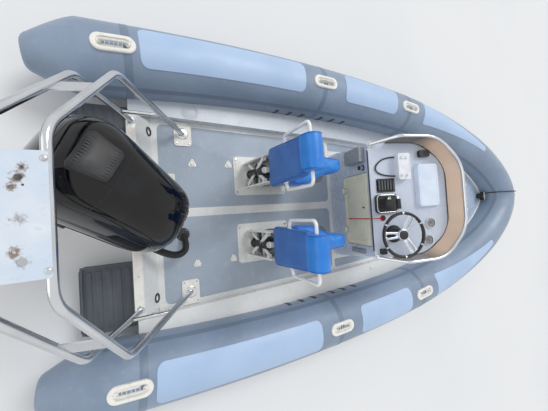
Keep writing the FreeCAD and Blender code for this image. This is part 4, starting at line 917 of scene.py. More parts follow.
SADDLE_LEVELS = mm((30, 641.5, 95), (12, 646, 97), (5, 660, 88), (4, 700, 55), (4, 760, 4), (6, 790, 0),
                   (14, 804, 0), (30, 812, 0))
BACK_LEVELS = mm((603, 944, 1000, 146), (620, 941, 1002, 148), (760, 930, 994, 142),
                 (900, 921, 984, 135), (1050, 912, 975, 127), (1068, 915, 972, 124))
ROLL_X, ROLL_Z, ROLL_HALF = 0.927, 1.150, 0.1115
ROLL_ENDS = [(0.001, 0.022), (0.004, 0.010), (0.012, 0.003), (ROLL_HALF / 2, 0.0)]
for lane, side_name in zip(SEAT_LANES, ("port", "starboard")):
    saddle_rings = [cushion_section(i, z, lane, d) for i, z, d in SADDLE_LEVELS]
    cushion = stuffed("seat_saddle_" + side_name, saddle_rings, 0.006, saddle_blue)
    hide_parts("seat_cushion_" + side_name)
    seam_on(cushion, cushion_section(0.004, 0.800, lane, 0.0), "saddle_piping_top_" + side_name)
    seam_on(cushion, cushion_section(0.0, 0.662, lane, 0.090), "saddle_piping_low_" + side_name)
    back_rings = []
    for z, x0, x1, half in BACK_LEVELS:
        outline = oblong_at(x0, x1, -half, half, 0.022, 6)
        back_rings.append([(x, y + lane, z) for x, y in outline])
    back = stuffed("seat_lower_back_" + side_name, back_rings, 0.005, back_blue)
    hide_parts("seat_back_" + side_name)
    for edge_x, label in ((0.0, "aft"), (1.0, "fore")):
        line = []
        for t in np.linspace(0, 1, 26):
            z = 0.625 + 0.43 * t
            x = (0.940 - 0.030 * t) + edge_x * 0.062
            line.append((x, lane + 0.150 - 0.022 * t, z))
        along = np.linspace(0.05, 0.95, 16)
        line += [(line[-1][0], lane + 0.128 - 0.256 * t, 1.068) for t in along]
        line += [(p[0], 2 * lane - p[1], p[2]) for p in reversed(line[:26])]
        line += [(0.940 + edge_x * 0.062, lane - 0.150 + 0.300 * t, 0.612) for t in along]
        seam_on(back, line, "lower_back_piping_%s_%s" % (label, side_name))
    roll_rings = []
    stations = [(gap - ROLL_HALF, shrink) for gap, shrink in ROLL_ENDS] + [(0.0, 0.0)]
    stations += [(ROLL_HALF - gap, shrink) for gap, shrink in reversed(ROLL_ENDS)]
    for along, shrink in stations:
        outline = drawn_in(oblong(0.058, 0.072, 0.052, 8), shrink)
        roll_rings.append([(ROLL_X + u, lane + along, ROLL_Z + w) for u, w in outline])
    roll = stuffed("seat_bolster_roll_" + side_name, roll_rings, 0.004, seat_blue)
    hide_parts("seat_bolster_" + side_name)
    for end in (-1, 1):
        outline = drawn_in(oblong(0.061, 0.075, 0.054, 8), 0.002)
        seam_on(roll, [(ROLL_X + u, lane + end * (ROLL_HALF - 0.006), ROLL_Z + w) for u, w in outline],
                "bolster_piping_%s_%s" % (side_name, "port" if end > 0 else "starboard"))


# Console: a hollow glass-fibre moulding in pale grey gelcoat with a rubber lip round
# the dash, a beige door on two hinges in its aft face, and small moulded boxes.
DASH_PITCH = math.radians(20)
DASH_EDGE = (1.704, 0.880)


def dash_z(x):
    """Height of the sloping dash at x."""
    return DASH_EDGE[1] + (x - DASH_EDGE[0]) * math.tan(DASH_PITCH)


def on_dash(x, y):
    """Place on the dash, Z out of it."""
    return Matrix.Translation((x, y, dash_z(x))) @ Matrix.Rotation(-DASH_PITCH, 4, "Y")


console_grey = Finish("console_gelcoat", (202, 212, 228), 0.3, coat=0.25)
console_grey.mottle((184, 194, 210), 0.5, 0.42, 0.7, 0.5).mottle((168, 164, 154), 0.05, 0.64, 0.82, 0.3)
console_grey.gloss_from(0.1, 0.1).relief(console_grey.cloud(0.03, 2.0), 0.0004).on("console_body")
door_beige = Finish("door_beige", (238, 235, 212), 0.42)
door_beige.mottle((216, 212, 188), 0.12, 0.45, 0.72, 0.6).relief(door_beige.cells(0.003), 0.0002)
door_beige.on("console_door")
box_grey = Finish("box_grey", (150, 156, 162), 0.5).mottle((124, 130, 136), 0.05)
box_grey.relief(box_grey.cells(0.0024), 0.0003).on("console_fittings")
black_plastic = Finish("black_plastic", (24, 25, 27), 0.38).mottle((44, 45, 47), 0.03, 0.5, 0.75, 0.6)
black_plastic.gloss_from(0.02, 0.1).relief(black_plastic.cells(0.0012), 0.00012)
FACE_LEAN = math.atan2(0.211, 0.710)


def on_face(y, z, out=0.0):
    """Place on the console's aft face, Z outwards and X up the face."""
    x = 1.915 - 0.211 * (z - 0.170) / 0.710
    up = Vector((-math.sin(FACE_LEAN), 0, math.cos(FACE_LEAN)))
    away = Vector((-math.cos(FACE_LEAN), 0, -math.sin(FACE_LEAN)))
    place = Matrix((up, away.cross(up), away)).transposed().to_4x4()
    place.translation = Vector((x, y, z)) + away * out
    return place


def frame_ring(moulding, outline, width, low, high, edge, finish, place):
    """A flat frame, rounded on its inner and outer edges."""
    bevel = edge * 0.3
    levels = [(0.0, low), (bevel, high - bevel), (edge, high)]
    levels += [(width - inset, z) for inset, z in reversed(levels)]
    moulding.skin(stacked(outline, levels), finish, place, (False, False))


door_trim = Moulding("door_frame_and_latch")
DOOR_FOOT = 0.455
DOOR_HIGH = 0.395 / math.cos(FACE_LEAN)
door_place = on_face(-0.0675, DOOR_FOOT)
panel = oblong_at(0.022, DOOR_HIGH - 0.022, -0.280, 0.280, [0.036, 0.014, 0.014, 0.036])
frame_ring(door_trim, panel, 0.016, -0.0005, 0.004, 0.003, door_beige, door_place)
inner_panel = oblong_at(0.056, DOOR_HIGH - 0.056, -0.246, 0.246, 0.03)
slab(door_trim, inner_panel, -0.0005, 0.0024, 0.002, door_beige, door_place)
lathe(door_trim, mm((27, 0), (27, 3), (24, 5), (18, 5), (17, 2), (0.4, 2)), door_beige,
      on_face(-0.050, 0.790, 0.001), 32)
slab(door_trim, oblong(0.014, 0.005, 0.004, 3), 0.010, 0.0185, 0.002, black_plastic, on_face(-0.050, 0.790))
for y in (-0.250, 0.115):
    slab(door_trim, oblong_at(0.010, 0.046, -0.030, 0.030, 0.006), -0.0005, 0.0032, 0.0015, stainless,
         on_face(y, DOOR_FOOT))
    for dy in (-0.018, 0.018):
        screw_head(door_trim, on_face(y + dy, DOOR_FOOT + 0.030, 0.0032), 0.0042, stainless)
door_trim.ride("console_door_body")

edge_trim = Moulding("dash_edge_trim")
swept(edge_trim, [(1.7015, y, 0.878) for y in np.linspace(-0.405, 0.405, 30)], 0.006, trim_rubber, 10)
edge_trim.ride("boat")
face_boxes = Moulding("face_box_lids")
lock_place = on_face(0.280, 0.800)
for y, z, wide, tall, deep in ((0.389, 0.7175, 0.100, 0.218, 0.066), (-0.4225, 0.660, 0.028, 0.180, 0.022)):
    lid = oblong(tall / 2, wide / 2, 0.011)
    slab(face_boxes, lid, deep * 0.96 - 0.002, deep * 0.96 + 0.003, 0.002, box_grey, on_face(y, z))
lathe(face_boxes, mm((17.5, 33), (18.5, 36), (17, 41), (11, 43), (0.4, 43.5)), black_plastic, lock_place, 30)
lathe(face_boxes, mm((24.5, 0), (24.5, 3), (21, 5), (17.5, 5.5)), black_plastic, lock_place, 30)
face_boxes.ride("boat")


# Windscreen: smoked acrylic bent round the front of the dash, its top edge in a
# stainless rail that comes down to the dash at both ends on flanged feet.
acrylic = Finish("smoked_acrylic", (246, 220, 196), 0.08)
acrylic.mottle((252, 232, 212), 0.3, 0.4, 0.7, 0.6)
across = acrylic.add("ShaderNodeSeparateXYZ", {0: acrylic.place})
acrylic.lay(acrylic.fade(across.outputs[0], 2.20, 2.06, 0.0, 0.9), (112, 112, 116))
acrylic.skin.inputs["Transmission Weight"].default_value = 0.3
acrylic.skin.inputs["IOR"].default_value = 1.3
acrylic.on("windscreen")
rail = Moulding("screen_rail")


def rail_height(x):
    """Height of the rail at x."""
    return 1.085 + (x - 1.850) * math.tan(math.radians(17.1))


half = [(1.7155, 0.4562, 0.878)]
half += [(x, y, rail_height(x)) for x, y in ((1.850, 0.488), (2.170, 0.482), (2.372, 0.262))]
route = half + [other_side(p) for p in reversed(half)]
swept(rail, bent_line(route, [0.09, 0.28, 0.28, 0.28, 0.28, 0.09], 3.0), 0.0125, stainless, 22)
for side in (1, -1):
    lathe(rail, mm((26, 0), (26, 3), (24, 5), (14.5, 5), (13, 10), (12.5, 11)), stainless,
          on_dash(1.7215, 0.4582 * side), 32)
rail.ride("boat", "windscreen_rail")
beading = Moulding("screen_beading")
foot = [(1.850, 0.468), (2.128, 0.462), (2.350, 0.288)]
plan = [(x, y, 0.0) for x, y in foot] + [(x, -y, 0.0) for x, y in reversed(foot)]
bead = [Vector((p.x, p.y, dash_z(p.x) + 0.003)) for p in bent_line(plan, 0.26, 4.0)]
swept(beading, bead, 0.0055, trim_rubber, 8)
for k in range(4, len(bead) - 4, 5):
    lathe(beading, mm((6, 0), (5, 3), (0.4, 4)), stainless, at(*bead[k]) @ at(0, 0, 0.004), 14)
beading.ride("boat")


# Instruments: radio, covered chart display, rocker panel, engine control, two gauges,
# stop switch and microphone, each screwed down on its gasket.
radio_white = Finish("radio_white", (236, 240, 246), 0.34, coat=0.15).mottle((208, 212, 218), 0.06)
radio_white.gloss_from(0.03, 0.08).on("dash_radio")
cover_white = Finish("display_cover", (222, 234, 250), 0.4).mottle((200, 214, 236), 0.12, 0.4, 0.7, 0.6)
cover_white.relief(cover_white.cloud(0.06, 2.0), 0.0016).relief(cover_white.cells(0.002), 0.0001)
cover_white.on("dash_display")
black_plastic.on("dash_controls", "dash_microphone", "dash_switches", "dash_throttle", "helm_base",
                 "dash_gauges")
instruments = Moulding("dash_instrument_details")
rocker_grey = Finish("rocker_grey", (74, 78, 84), 0.45).mottle((52, 56, 62), 0.02)
rocker_grey.gloss_from(0.01, 0.08)
display_place = on_dash(2.176, 0.105)
switch_place = on_dash(1.832, 0.118)
lid_line = oblong(0.044, 0.097, 0.008)
frame_ring(instruments, lid_line, 0.004, 0.0618, 0.0634, 0.0008, radio_white, on_dash(1.964, 0.262))
for s in (-1, 1):
    knob = mm((13.5, 0), (13.5, 2), (11.8, 3), (11.2, 14.5), (9.8, 16.5), (0.4, 17))
    knob_place = on_dash(1.964 + s * 0.020 * math.cos(DASH_PITCH), 0.330) @ at(0, 0, 0.062)
    lathe(instruments, knob, radio_white, knob_place, 24)
cover_seam = oblong(0.078, 0.160, 0.018)
frame_ring(instruments, cover_seam, 0.006, 0.0355, 0.0378, 0.001, cover_white, display_place)
for i in range(6):
    place = switch_place @ at(-0.0625 + i * 0.025, 0, 0)
    rocker = oblong(0.0082, 0.038, 0.003, 3)
    rings = []
    for z, inset in ((0.0128, 0.0), (0.0150, 0.0008)):
        ring = drawn_in(rocker, inset)
        rings.append([(x, y, z + (0.0035 * abs(y) / 0.038 if inset else 0.0)) for x, y in ring])
    instruments.skin(rings, rocker_grey, place)
    mark = oblong(0.0012, 0.004, 0.0008, 2)
    slab(instruments, mark, 0.0150, 0.0176, 0.0003, radio_white, place @ at(0, 0.022, 0), 1)
for s, t in ((-1, -1), (-1, 1), (1, -1), (1, 1)):
    screw_head(instruments, switch_place @ at(s * 0.074, t * 0.050, 0.006), 0.003, stainless)
    screw_head(instruments, display_place @ at(s * 0.070, t * 0.150, 0.0356), 0.0034, stainless)
dial_face = Finish("dial_face", (118, 122, 128), 0.3).mottle((160, 164, 170), 0.02, 0.45, 0.7, 0.7)
needle_red = Finish("needle_red", (206, 40, 34), 0.4).mottle((170, 30, 26), 0.01)
HAND_TURN = 2.1
for x, y in ((2.188, -0.212), (2.160, -0.352)):
    place = on_dash(x, y)
    lathe(instruments, mm((36.5, 8.2), (0.4, 8.4)), dial_face, place, 40, (False, True))
    for k in range(25):
        long = 0.006 if k % 4 == 0 else 0.0032
        tick = oblong_at(0.033 - long, 0.033, -0.0005, 0.0005, 0.0003, 1)
        slab(instruments, tick, 0.0083, 0.0087, 0.0001, radio_white,
             place @ at(0, 0, 0, -135 + 270 * k / 24), 1)
    hand = [(-0.008, -0.0014), (0.026, -0.0005), (0.026, 0.0005), (-0.008, 0.0014)]
    hand_place = place @ Matrix.Rotation(HAND_TURN, 4, "Z")
    slab(instruments, rounded_outline(hand, 0.0003, 1), 0.0092, 0.0100, 0.0002, needle_red, hand_place, 1)
    lathe(instruments, mm((4.5, 8.4), (4.5, 10.8), (0.4, 11.2)), socket_black, place, 18)
    lathe(instruments, mm((45, 0), (45, 10), (42.5, 14), (38.5, 14), (36.8, 10.5)), chrome, place, 56,
          (False, False))
for k in range(5):
    rib = oblong(0.022, 0.002, 0.0015, 2)
    slab(instruments, rib, 0.0355, 0.0378, 0.001, black_plastic,
         on_dash(2.160, 0.365) @ at(0.014, -0.016 + 0.008 * k, 0))
lathe(instruments, mm((19.5, 0), (24, 0), (24, 4), (19.5, 6)), needle_red, on_dash(1.792, -0.145), 28)
instruments.ride("boat")
lever = Moulding("throttle_details")
lever_place = on_dash(1.822, -0.030)
base = oblong(0.092, 0.072, 0.03)
frame_ring(lever, base, 0.006, 0.0295, 0.0325, 0.001, chrome, lever_place)
path = [(0, 0.0355, 0.050), (0, 0.058, 0.050), (0.010, 0.058, 0.150), (0.010, -0.020, 0.160)]
swept(lever, [lever_place @ p for p in bent_line(path, [0.014, 0.024], 8)], 0.0092, chrome, 14)
lathe(lever, mm((20, 0), (20, 4), (17, 7), (0.4, 7.5)), chrome, lever_place @ at(0, 0.034, 0.050, 0, 0, -90),
      26)
along = (lever_place.to_3x3() @ Vector((0, 1, -0.05))).normalized()
cross = along.orthogonal().normalized()
other = along.cross(cross)
for k in range(6):
    spot = lever_place @ Vector((0.010, -0.042 + 0.0135 * k, 0.1619 - 0.0007 * k))
    ring = [spot + (cross * c + other * s) * 0.0172 for c, s in circle(26)]
    swept(lever, ring, 0.0016, black_plastic, 6, wrap=True)
lever.ride("boat")


# Helm: a leather-look black rim with short silver inserts on a cast silver three-spoke
# frame. The spokes are slotted and dished towards a plain domed hub.
rim_black = Finish("rim_black", (24, 24, 26), 0.46).mottle((44, 43, 44), 0.04, 0.5, 0.75, 0.6)
rim_black.relief(rim_black.cells(0.0022), 0.00035)
cast_silver = Finish("cast_silver", (196, 202, 210), 0.3, metal=0.85).mottle((168, 174, 184), 0.05)
cast_silver.gloss_from(0.02, 0.08).relief(cast_silver.cells(0.0012), 0.00008)
helm = Moulding("helm_wheel_assembly")
helm_place = on_dash(1.870, -0.278)
RIM, LIFT = 0.167, 0.138


def rim_section(turn, swell, narrow, grip=0.0):
    """Section of the rim at a turn of the wheel, its inside raised by the grip."""
    ring = []
    for c, s in circle(16):
        reach = RIM + swell * c * narrow + (grip if c < -0.5 else 0.0)
        ring.append((reach * math.cos(turn), reach * math.sin(turn), LIFT + swell * s))
    return ring


rim_rings = []
for k in range(120):
    turn = 2 * math.pi * k / 120
    swell = 0.0132 + 0.0011 * max(0.0, math.cos(3 * turn)) ** 4
    rim_rings.append(rim_section(turn, swell, 0.92, 0.0009 if k % 4 < 2 else 0.0))
helm.skin(rim_rings, rim_black, helm_place, wrap=True)
for k in range(6):
    insert = []
    for step, swell in ((-2.2, 0.0125), (-2.0, 0.0142), (0.0, 0.0142), (2.0, 0.0142), (2.2, 0.0125)):
        insert.append(rim_section(math.radians(210 + 60 * k + step), swell, 0.94))
    helm.skin(insert, cast_silver, helm_place)
SPOKE = mm((26, 26, 7.5, 122), (45, 25.5, 7.5, 126), (62, 26.5, 8.5, 129), (100, 29, 11.5, 133),
           (137, 32, 13.5, 136.5), (150, 34, 3, 138), (160, 36, 0.5, 138))
THICK = 0.0042
for i in range(3):
    spoke_place = helm_place @ at(0, 0, 0, 180 + 120 * i)
    for side in (1, -1):
        rows = []
        for reach, outer, inner, z in SPOKE:
            section = [(inner, -THICK), (outer, 0.001 - THICK), (outer + 0.0006, 0),
                       (outer - 0.002, THICK - 0.001), (outer - 0.005, THICK), (inner + 0.003, THICK),
                       (inner + 0.0006, THICK - 0.001)]
            rows.append([(reach, y * side, z + rise) for y, rise in section])
        helm.skin(rows, cast_silver, spoke_place)
    web = []
    for reach, z in ((0.024, 0.120), (0.050, 0.1245), (0.062, 0.1265)):
        web.append([(reach, y, z + rise) for y, rise in mm((-8.5, -4), (8.5, -4), (8.5, 4), (-8.5, 4))])
    helm.skin(web, cast_silver, spoke_place)
hub = mm((13, 92.5), (13, 112), (40, 113.5), (44.5, 118), (44.5, 130), (42.5, 134), (37.5, 136.5))
lathe(helm, hub, cast_silver, helm_place, 48)
lathe(helm, mm((37.2, 134.5), (36.5, 137.5), (30, 140.5), (16, 142.5), (0.4, 143)), rim_black, helm_place,
      48)
helm_piece = helm.ride("helm", "helm_wheel")
helm_boot = Moulding("helm_column_rings")
for z in (0.012, 0.030, 0.048, 0.066, 0.084):
    reach = 0.062 - 0.022 * z / 0.092
    fold = [(reach + out, z + rise) for out, rise in mm((-1, -4), (2.2, -2), (2.2, 2), (-1, 4))]
    lathe(helm_boot, fold, trim_rubber, helm_place, 40, (False, False))
helm_boot.ride("boat")


# Outboard motor, steered and tilted up at rest: a two-part gloss cover over the engine,
# a cast swivel and clamp on the transom, a drive leg with its plates, and the propeller.
REST_TILT, REST_STEER = 27, -33
STEER_X = -0.075
bracket_place = at(-0.030, 0, 0.365, 0, REST_TILT)
motor_place = bracket_place @ at(STEER_X, 0, 0, REST_STEER) @ at(-STEER_X, 0, 0)
# The lighter bluish patches mottled into the cover's black are painted reflections of sky.
motor_gloss = Finish("motor_gloss", (5, 5, 6), 0.06, coat=0.3).mottle((30, 34, 42), 0.14, 0.52, 0.72, 0.7)
motor_gloss.skin.inputs["Specular IOR Level"].default_value = 0.22
motor_gloss.gloss_from(0.12, 0.035).relief(motor_gloss.cloud(0.16, 1.0), 0.0005)
pan_paint = Finish("motor_pan_paint", (52, 46, 43), 0.2, coat=0.7)
pan_paint.mottle((74, 64, 58), 0.18, 0.4, 0.75, 0.7).gloss_from(0.05, 0.06)
leg_black = Finish("leg_paint", (20, 21, 23), 0.24, coat=0.5).mottle((44, 45, 47), 0.08, 0.5, 0.8, 0.5)
leg_black.gloss_from(0.06, 0.1).relief(leg_black.cells(0.004), 0.00012)
leg_black.on("motor_leg", "motor_swivel", "motor_clamp")
engine_grey = Finish("engine_block", (96, 98, 100), 0.5, metal=0.5).mottle((60, 60, 60), 0.05)
engine_grey.relief(engine_grey.cells(0.003), 0.0003).on("motor_powerhead")
panel_grey = Finish("motor_panel", (22, 23, 26), 0.42).mottle((48, 52, 60), 0.05, 0.45, 0.75, 0.7)
panel_grey.relief(panel_grey.cells(0.0018), 0.00025)


COVER_STEP, COVER_SIDES = 0.014, 96


def cover_rings(stations):
    """Rounded plan sections of a cover, from (z, front, rear, halves, corners) stations."""
    rings = []
    turns = np.linspace(0, 2 * math.pi, COVER_SIDES, endpoint=False)
    for z, front, rear, half_front, half_rear, r_front, r_rear in natural_spline(stations, COVER_STEP):
        corners = [(rear, -half_rear), (front, -half_front), (front, half_front), (rear, half_rear)]
        outline = rounded_outline(corners, [r_rear, r_front, r_front, r_rear], 12)
        flat = np.array([tuple(p) for p in outline])
        flat = np.concatenate([flat + (np.roll(flat, -1, 0) - flat) * s / 8 for s in range(8)])
        middle = (front + rear) / 2
        around = np.arctan2(flat[:, 1], flat[:, 0] - middle)
        order = np.argsort(around)
        reach = np.interp(turns, around[order], np.hypot(flat[:, 0] - middle, flat[:, 1])[order],
                          period=2 * math.pi)
        for _ in range(3):
            reach = (np.roll(reach, 1) + 2 * reach + np.roll(reach, -1)) / 4
        rings.append([(middle + r * math.cos(t), r * math.sin(t), z) for r, t in zip(reach, turns)])
    return rings


def crowned(rings, steps):
    """Close the top ring with smaller rings, each (share of size, rise)."""
    top = np.array(rings[-1])
    middle = top.mean(axis=0)
    for share, rise in steps:
        rings.append([tuple(middle + (p - middle) * share + np.array((0, 0, rise))) for p in top])
    return rings


COWL_STATIONS = mm((150.5, 106, -640, 175, 236, 100, 145), (290, 118, -662, 192, 256, 115, 155),
                   (430, 102, -660, 184, 250, 115, 155), (556, 44, -620, 148, 214, 105, 145),
                   (622, -50, -540, 86, 144, 72, 112))
COWL_CROWN = [(0.93, 0.0055), (0.84, 0.011), (0.7, 0.0165), (0.5, 0.021), (0.25, 0.0235)]
cowl_rings = crowned(cover_rings(COWL_STATIONS), COWL_CROWN)
cowl = Moulding("motor_cowl_skin")
cowl.skin(cowl_rings, motor_gloss, motor_place, (False, True))
cowl_surface = BVHTree.FromPolygons(cowl.points, cowl.faces)


def laid(outline, steps, place, finish):
    """Rings dropped onto the cowl along the place's -Z, each (share of size, inset, lift)."""
    away = (place.to_3x3() @ Vector((0, 0, 1))).normalized()
    middle = np.array([tuple(p) for p in outline]).mean(axis=0)
    rings = []
    for share, inset, lift in steps:
        ring = []
        for x, y in middle + (drawn_in(outline, inset) - middle) * share:
            hit = cowl_surface.ray_cast(place @ Vector((x, y, 0.2)), -away, 0.5)[0]
            ring.append((hit if hit is not None else place @ Vector((x, y, 0))) + away * lift)
        rings.append(ring)
    cowl.skin(rings, finish, None, (False, True))


tail = motor_place @ at(-0.500, -0.010, 0.600, 0, -18)
tail_plan = rounded_outline([(-0.076, -0.104), (0.090, -0.078), (0.090, 0.078), (-0.076, 0.104)], 0.028)
raised = [(1, 0, -0.004), (1, 0.001, 0.005), (1, 0.003, 0.0085), (1, 0.007, 0.0100)]
raised += [(s, 0.007, 0.0100) for s in (0.85, 0.7, 0.5, 0.3, 0.1)]
laid(tail_plan, raised, tail, panel_grey)
for k in range(11):
    y = -0.070 + 0.014 * k
    rib = oblong_at(-0.058, 0.072, y - 0.0032, y + 0.0032, 0.003, 3)
    laid(rib, [(1, 0, 0.008), (1, 0.0004, 0.0122), (1, 0.0014, 0.0134)], tail, panel_grey)
for side in (1, -1):
    place = motor_place @ at(-0.300, 0.240 * side, 0.380, 0, 0, -76 * side)
    line = rounded_outline([(-0.250, -0.012), (0.230, -0.030), (0.236, 0.018), (-0.250, 0.020)], 0.009)
    low_step = [(1, 0, -0.003), (1, 0.0004, 0.0012), (1, 0.0012, 0.0018), (0.8, 0.001, 0.0018),
                (0.3, 0.001, 0.0018)]
    laid(line, low_step, place, panel_grey)
scoop = motor_place @ at(0.020, 0, 0.560, 0, 46)
for side in (1, -1):
    for k in range(4):
        y = side * (0.018 + 0.016 * k)
        slot = oblong_at(-0.034, 0.030, y - 0.004, y + 0.004, 0.0038, 3)
        laid(slot, [(1, 0, -0.002), (1, 0.0006, 0.0022), (1, 0.002, 0.0006)], scoop, socket_black)
for z_row in (0.235, 0.520):
    row = min(cowl_rings, key=lambda ring: abs(ring[0][2] - z_row))
    swept(cowl, [motor_place @ Vector(p) for p in row], 0.0013, socket_black, 6, wrap=True)
down = motor_place.to_3x3() @ Vector((0, 0, -1))
for start, end in (((-0.395, -0.215), (-0.395, 0.215)), ((-0.655, -0.100), (-0.400, -0.100))):
    seam = []
    for k in range(61):
        x, y = Vector(start).lerp(Vector(end), k / 60)
        hit = cowl_surface.ray_cast(motor_place @ Vector((x, y, 0.9)), down, 1.0)[0]
        if hit is not None:
            seam.append(hit)
    swept(cowl, seam, 0.0013, socket_black, 6)
lower = [motor_place @ (Vector(p) + Vector((0, 0, 0.0015))) for p in cowl_rings[0]]
swept(cowl, lower, 0.0042, trim_rubber, 8, wrap=True)
cowl_piece = cowl.ride("motor", "motor_cowl", keep=42)

PAN_STATIONS = mm((50.5, 36, -556, 88, 150, 56, 92), (60, 42, -566, 96, 158, 60, 96),
                  (105, 80, -616, 144, 208, 86, 124), (146, 102, -636, 172, 232, 98, 142))
PAN_REACH = 0.187
pan = Moulding("motor_pan_skin")
pan_rings = []
for ring in cover_rings(PAN_STATIONS):
    held = []
    for x, y, z in ring:
        reach = math.hypot(x - STEER_X, y)
        if x > STEER_X and reach > PAN_REACH:
            x, y = STEER_X + (x - STEER_X) * PAN_REACH / reach, y * PAN_REACH / reach
        held.append((x, y, z))
    pan_rings.append(held)
pan.skin(pan_rings, pan_paint, motor_place)
rim = [motor_place @ Vector(p) for p in pan_rings[-1]]
swept(pan, rim, 0.0036, pan_paint, 8, wrap=True)
for side in (1, -1):
    latch = oblong(0.030, 0.014, 0.008)
    latch_place = motor_place @ at(-0.330, 0.205 * side, 0.108, 0, 0, -50 * side)
    slab(pan, latch, -0.006, 0.008, 0.004, black_plastic, latch_place)
lathe(pan, mm((40, -30), (40, 0), (37, 4), (30, 6), (25.5, 6)), trim_rubber,
      motor_place @ at(0.102, -0.095, 0.128, 0, 90), 40)
for k in range(3):
    lathe(pan, mm((40, -4), (42.5, -2), (42.5, 2), (40, 4)), trim_rubber,
          motor_place @ at(0.072 + 0.012 * k, -0.095, 0.128, 0, 90), 40, (False, False))
pan_piece = pan.ride("motor", "motor_pan", keep=42)

leg = Moulding("motor_leg_fittings")
anode = Finish("anode_zinc", (150, 152, 150), 0.6, metal=0.4).mottle((110, 112, 108), 0.01, 0.4, 0.7, 0.8)
slab(leg, oblong(0.045, 0.018, 0.008), 0.0, 0.012, 0.003, anode, motor_place @ at(-0.440, 0, -0.552, 0, 180))
for side in (1, -1):
    for k in range(5):
        vent = oblong(0.016, 0.002, 0.0018, 2)
        vent_place = motor_place @ at(-0.230 + 0.002 * k, side * 0.0525, -0.735, 0, 0, -90 * side)
        slab(leg, vent, -0.002, 0.0012, 0.0005, socket_black, vent_place @ at(0, 0.007 * (k - 2), 0))
    for x, z in ((-0.150, -0.200), (-0.215, -0.200), (-0.150, -0.460), (-0.280, -0.460)):
        screw_head(leg, motor_place @ at(x, side * 0.028, z - 0.0005, 0, 180), 0.006, stainless)
for x, y in ((-0.060, 0.026), (-0.060, -0.026), (-0.195, 0.036), (-0.195, -0.036)):
    screw_head(leg, motor_place @ at(x, y, -0.212, 0, 180), 0.006, stainless)
leg.ride("motor")
bracket = Moulding("motor_bracket_bolts")
clamp = Moulding("motor_clamp_bolts")
for side in (1, -1):
    lathe(clamp, mm((21, 0), (21, 4), (18, 5), (18, 11), (15, 13), (0.4, 13.2)), stainless,
          at(-0.030, 0.112 * side, 0.365, 0, 0, -90 * side), 6)
    for z in (0.150, 0.270):
        lathe(clamp, mm((17, 0), (17, 3), (12, 3.5), (12, 10), (9.5, 12), (0.4, 12)), stainless,
              at(-0.020 - (0.270 - z) * 0.02, 0.109 * side, z, 0, 0, -90 * side), 6)
clamp.ride("boat")
for side in (1, -1):
    lathe(bracket, mm((19, -1), (19, 4), (15, 6), (12.5, 6)), stainless,
          bracket_place @ at(0, 0.088 * side, 0, 0, 0, -90 * side), 30)
bracket.ride("motor_bracket")

propeller_steel = Finish("propeller_steel", (198, 202, 208), 0.2, metal=1.0).mottle((160, 164, 170), 0.05)
propeller_steel.gloss_from(0.02, 0.08).relief(propeller_steel.cloud(0.02, 2.0), 0.0002)
propeller = Moulding("propeller_blades")
hub_place = motor_place @ at(-0.3935, 0, -0.735, 0, -90)
lathe(propeller, mm((38.5, 0), (40, 2), (39.5, 60), (39.5, 84), (37.5, 88.5), (34, 88.5), (33, 70), (18, 66),
                    (16, 72), (0.4, 74)), propeller_steel, hub_place, 48)
BLADE_ROOT, BLADE_SPAN, BLADE_PITCH = 0.034, 0.130, 0.062
for i in range(3):
    rings = []
    for k in range(15):
        share = k / 14
        radius = BLADE_ROOT + BLADE_SPAN * share
        chord = 0.112 * math.sin(math.pi * (0.22 + 0.74 * share) ** 1.12) ** 0.6 if share < 0.999 else 0.012
        slope = math.atan2(BLADE_PITCH, radius)
        thick = 0.0105 * (1 - share) ** 0.8 + 0.0022
        rake = -0.010 * share
        ring = []
        for c, s in circle(20):
            along = chord / 2 * c
            off = thick / 2 * s * (1 - 0.35 * c) + 0.01 * chord * (1 - c)
            axial = 0.046 + along * math.sin(slope) + off * math.cos(slope) - rake
            sweep = (along * math.cos(slope) - off * math.sin(slope)) / radius + 0.22 * share ** 2
            spin = 2 * math.pi * i / 3 + sweep
            ring.append((radius * math.cos(spin), radius * math.sin(spin), min(0.087, max(0.002, axial))))
        rings.append(ring)
    propeller.skin(rings, propeller_steel, hub_place)
propeller_piece = propeller.ride("propeller_body", "propeller", keep=40)


# Cords: the motor's corrugated rigging hose, the curly microphone lead and stop
# lanyard, and the three-strand bow rope with its turns on the post and its end knot.


def cord_line(route, fine=40):
    """Points read from the smooth spline that the route's points control."""
    curve = bpy.data.curves.new("cord_guide", "CURVE")
    curve.dimensions = "3D"
    curve.resolution_u = fine
    spline = curve.splines.new("NURBS")
    spline.points.add(len(route) - 1)
    for spot, (x, y, z) in zip(spline.points, route):
        spot.co = (x, y, z, 1.0)
    spline.order_u = 3
    spline.use_endpoint_u = True
    guide = shown("cord_guide", curve)
    mesh = bpy.data.meshes.new_from_object(guide)
    line = [v.co.copy() for v in mesh.vertices]
    bpy.data.objects.remove(guide)
    bpy.data.curves.remove(curve)
    bpy.data.meshes.remove(mesh)
    return line


def evenly(line, step):
    """The read line at an even spacing."""
    spots = np.array([tuple(p) for p in line])
    along = np.concatenate([[0], np.cumsum(np.linalg.norm(np.diff(spots, axis=0), axis=1))])
    wanted = np.linspace(0, along[-1], max(2, int(along[-1] / step) + 1))
    return [Vector([np.interp(s, along, spots[:, k]) for k in range(3)]) for s in wanted], wanted


def wound(moulding, line, offset, reach, pitch, phase, finish, around=12, sides=6):
    """A strand wound round the line."""
    spots, along = evenly(line, pitch / around)
    path = []
    cross = None
    for i, spot in enumerate(spots):
        ahead = (spots[min(i + 1, len(spots) - 1)] - spots[max(i - 1, 0)]).normalized()
        if cross is None:
            cross = ahead.orthogonal().normalized()
        else:
            cross = (cross - ahead * cross.dot(ahead)).normalized()
        turn = 2 * math.pi * along[i] / pitch + phase
        path.append(spot + (cross * math.cos(turn) + ahead.cross(cross) * math.sin(turn)) * offset)
    swept(moulding, path, reach, finish, sides)


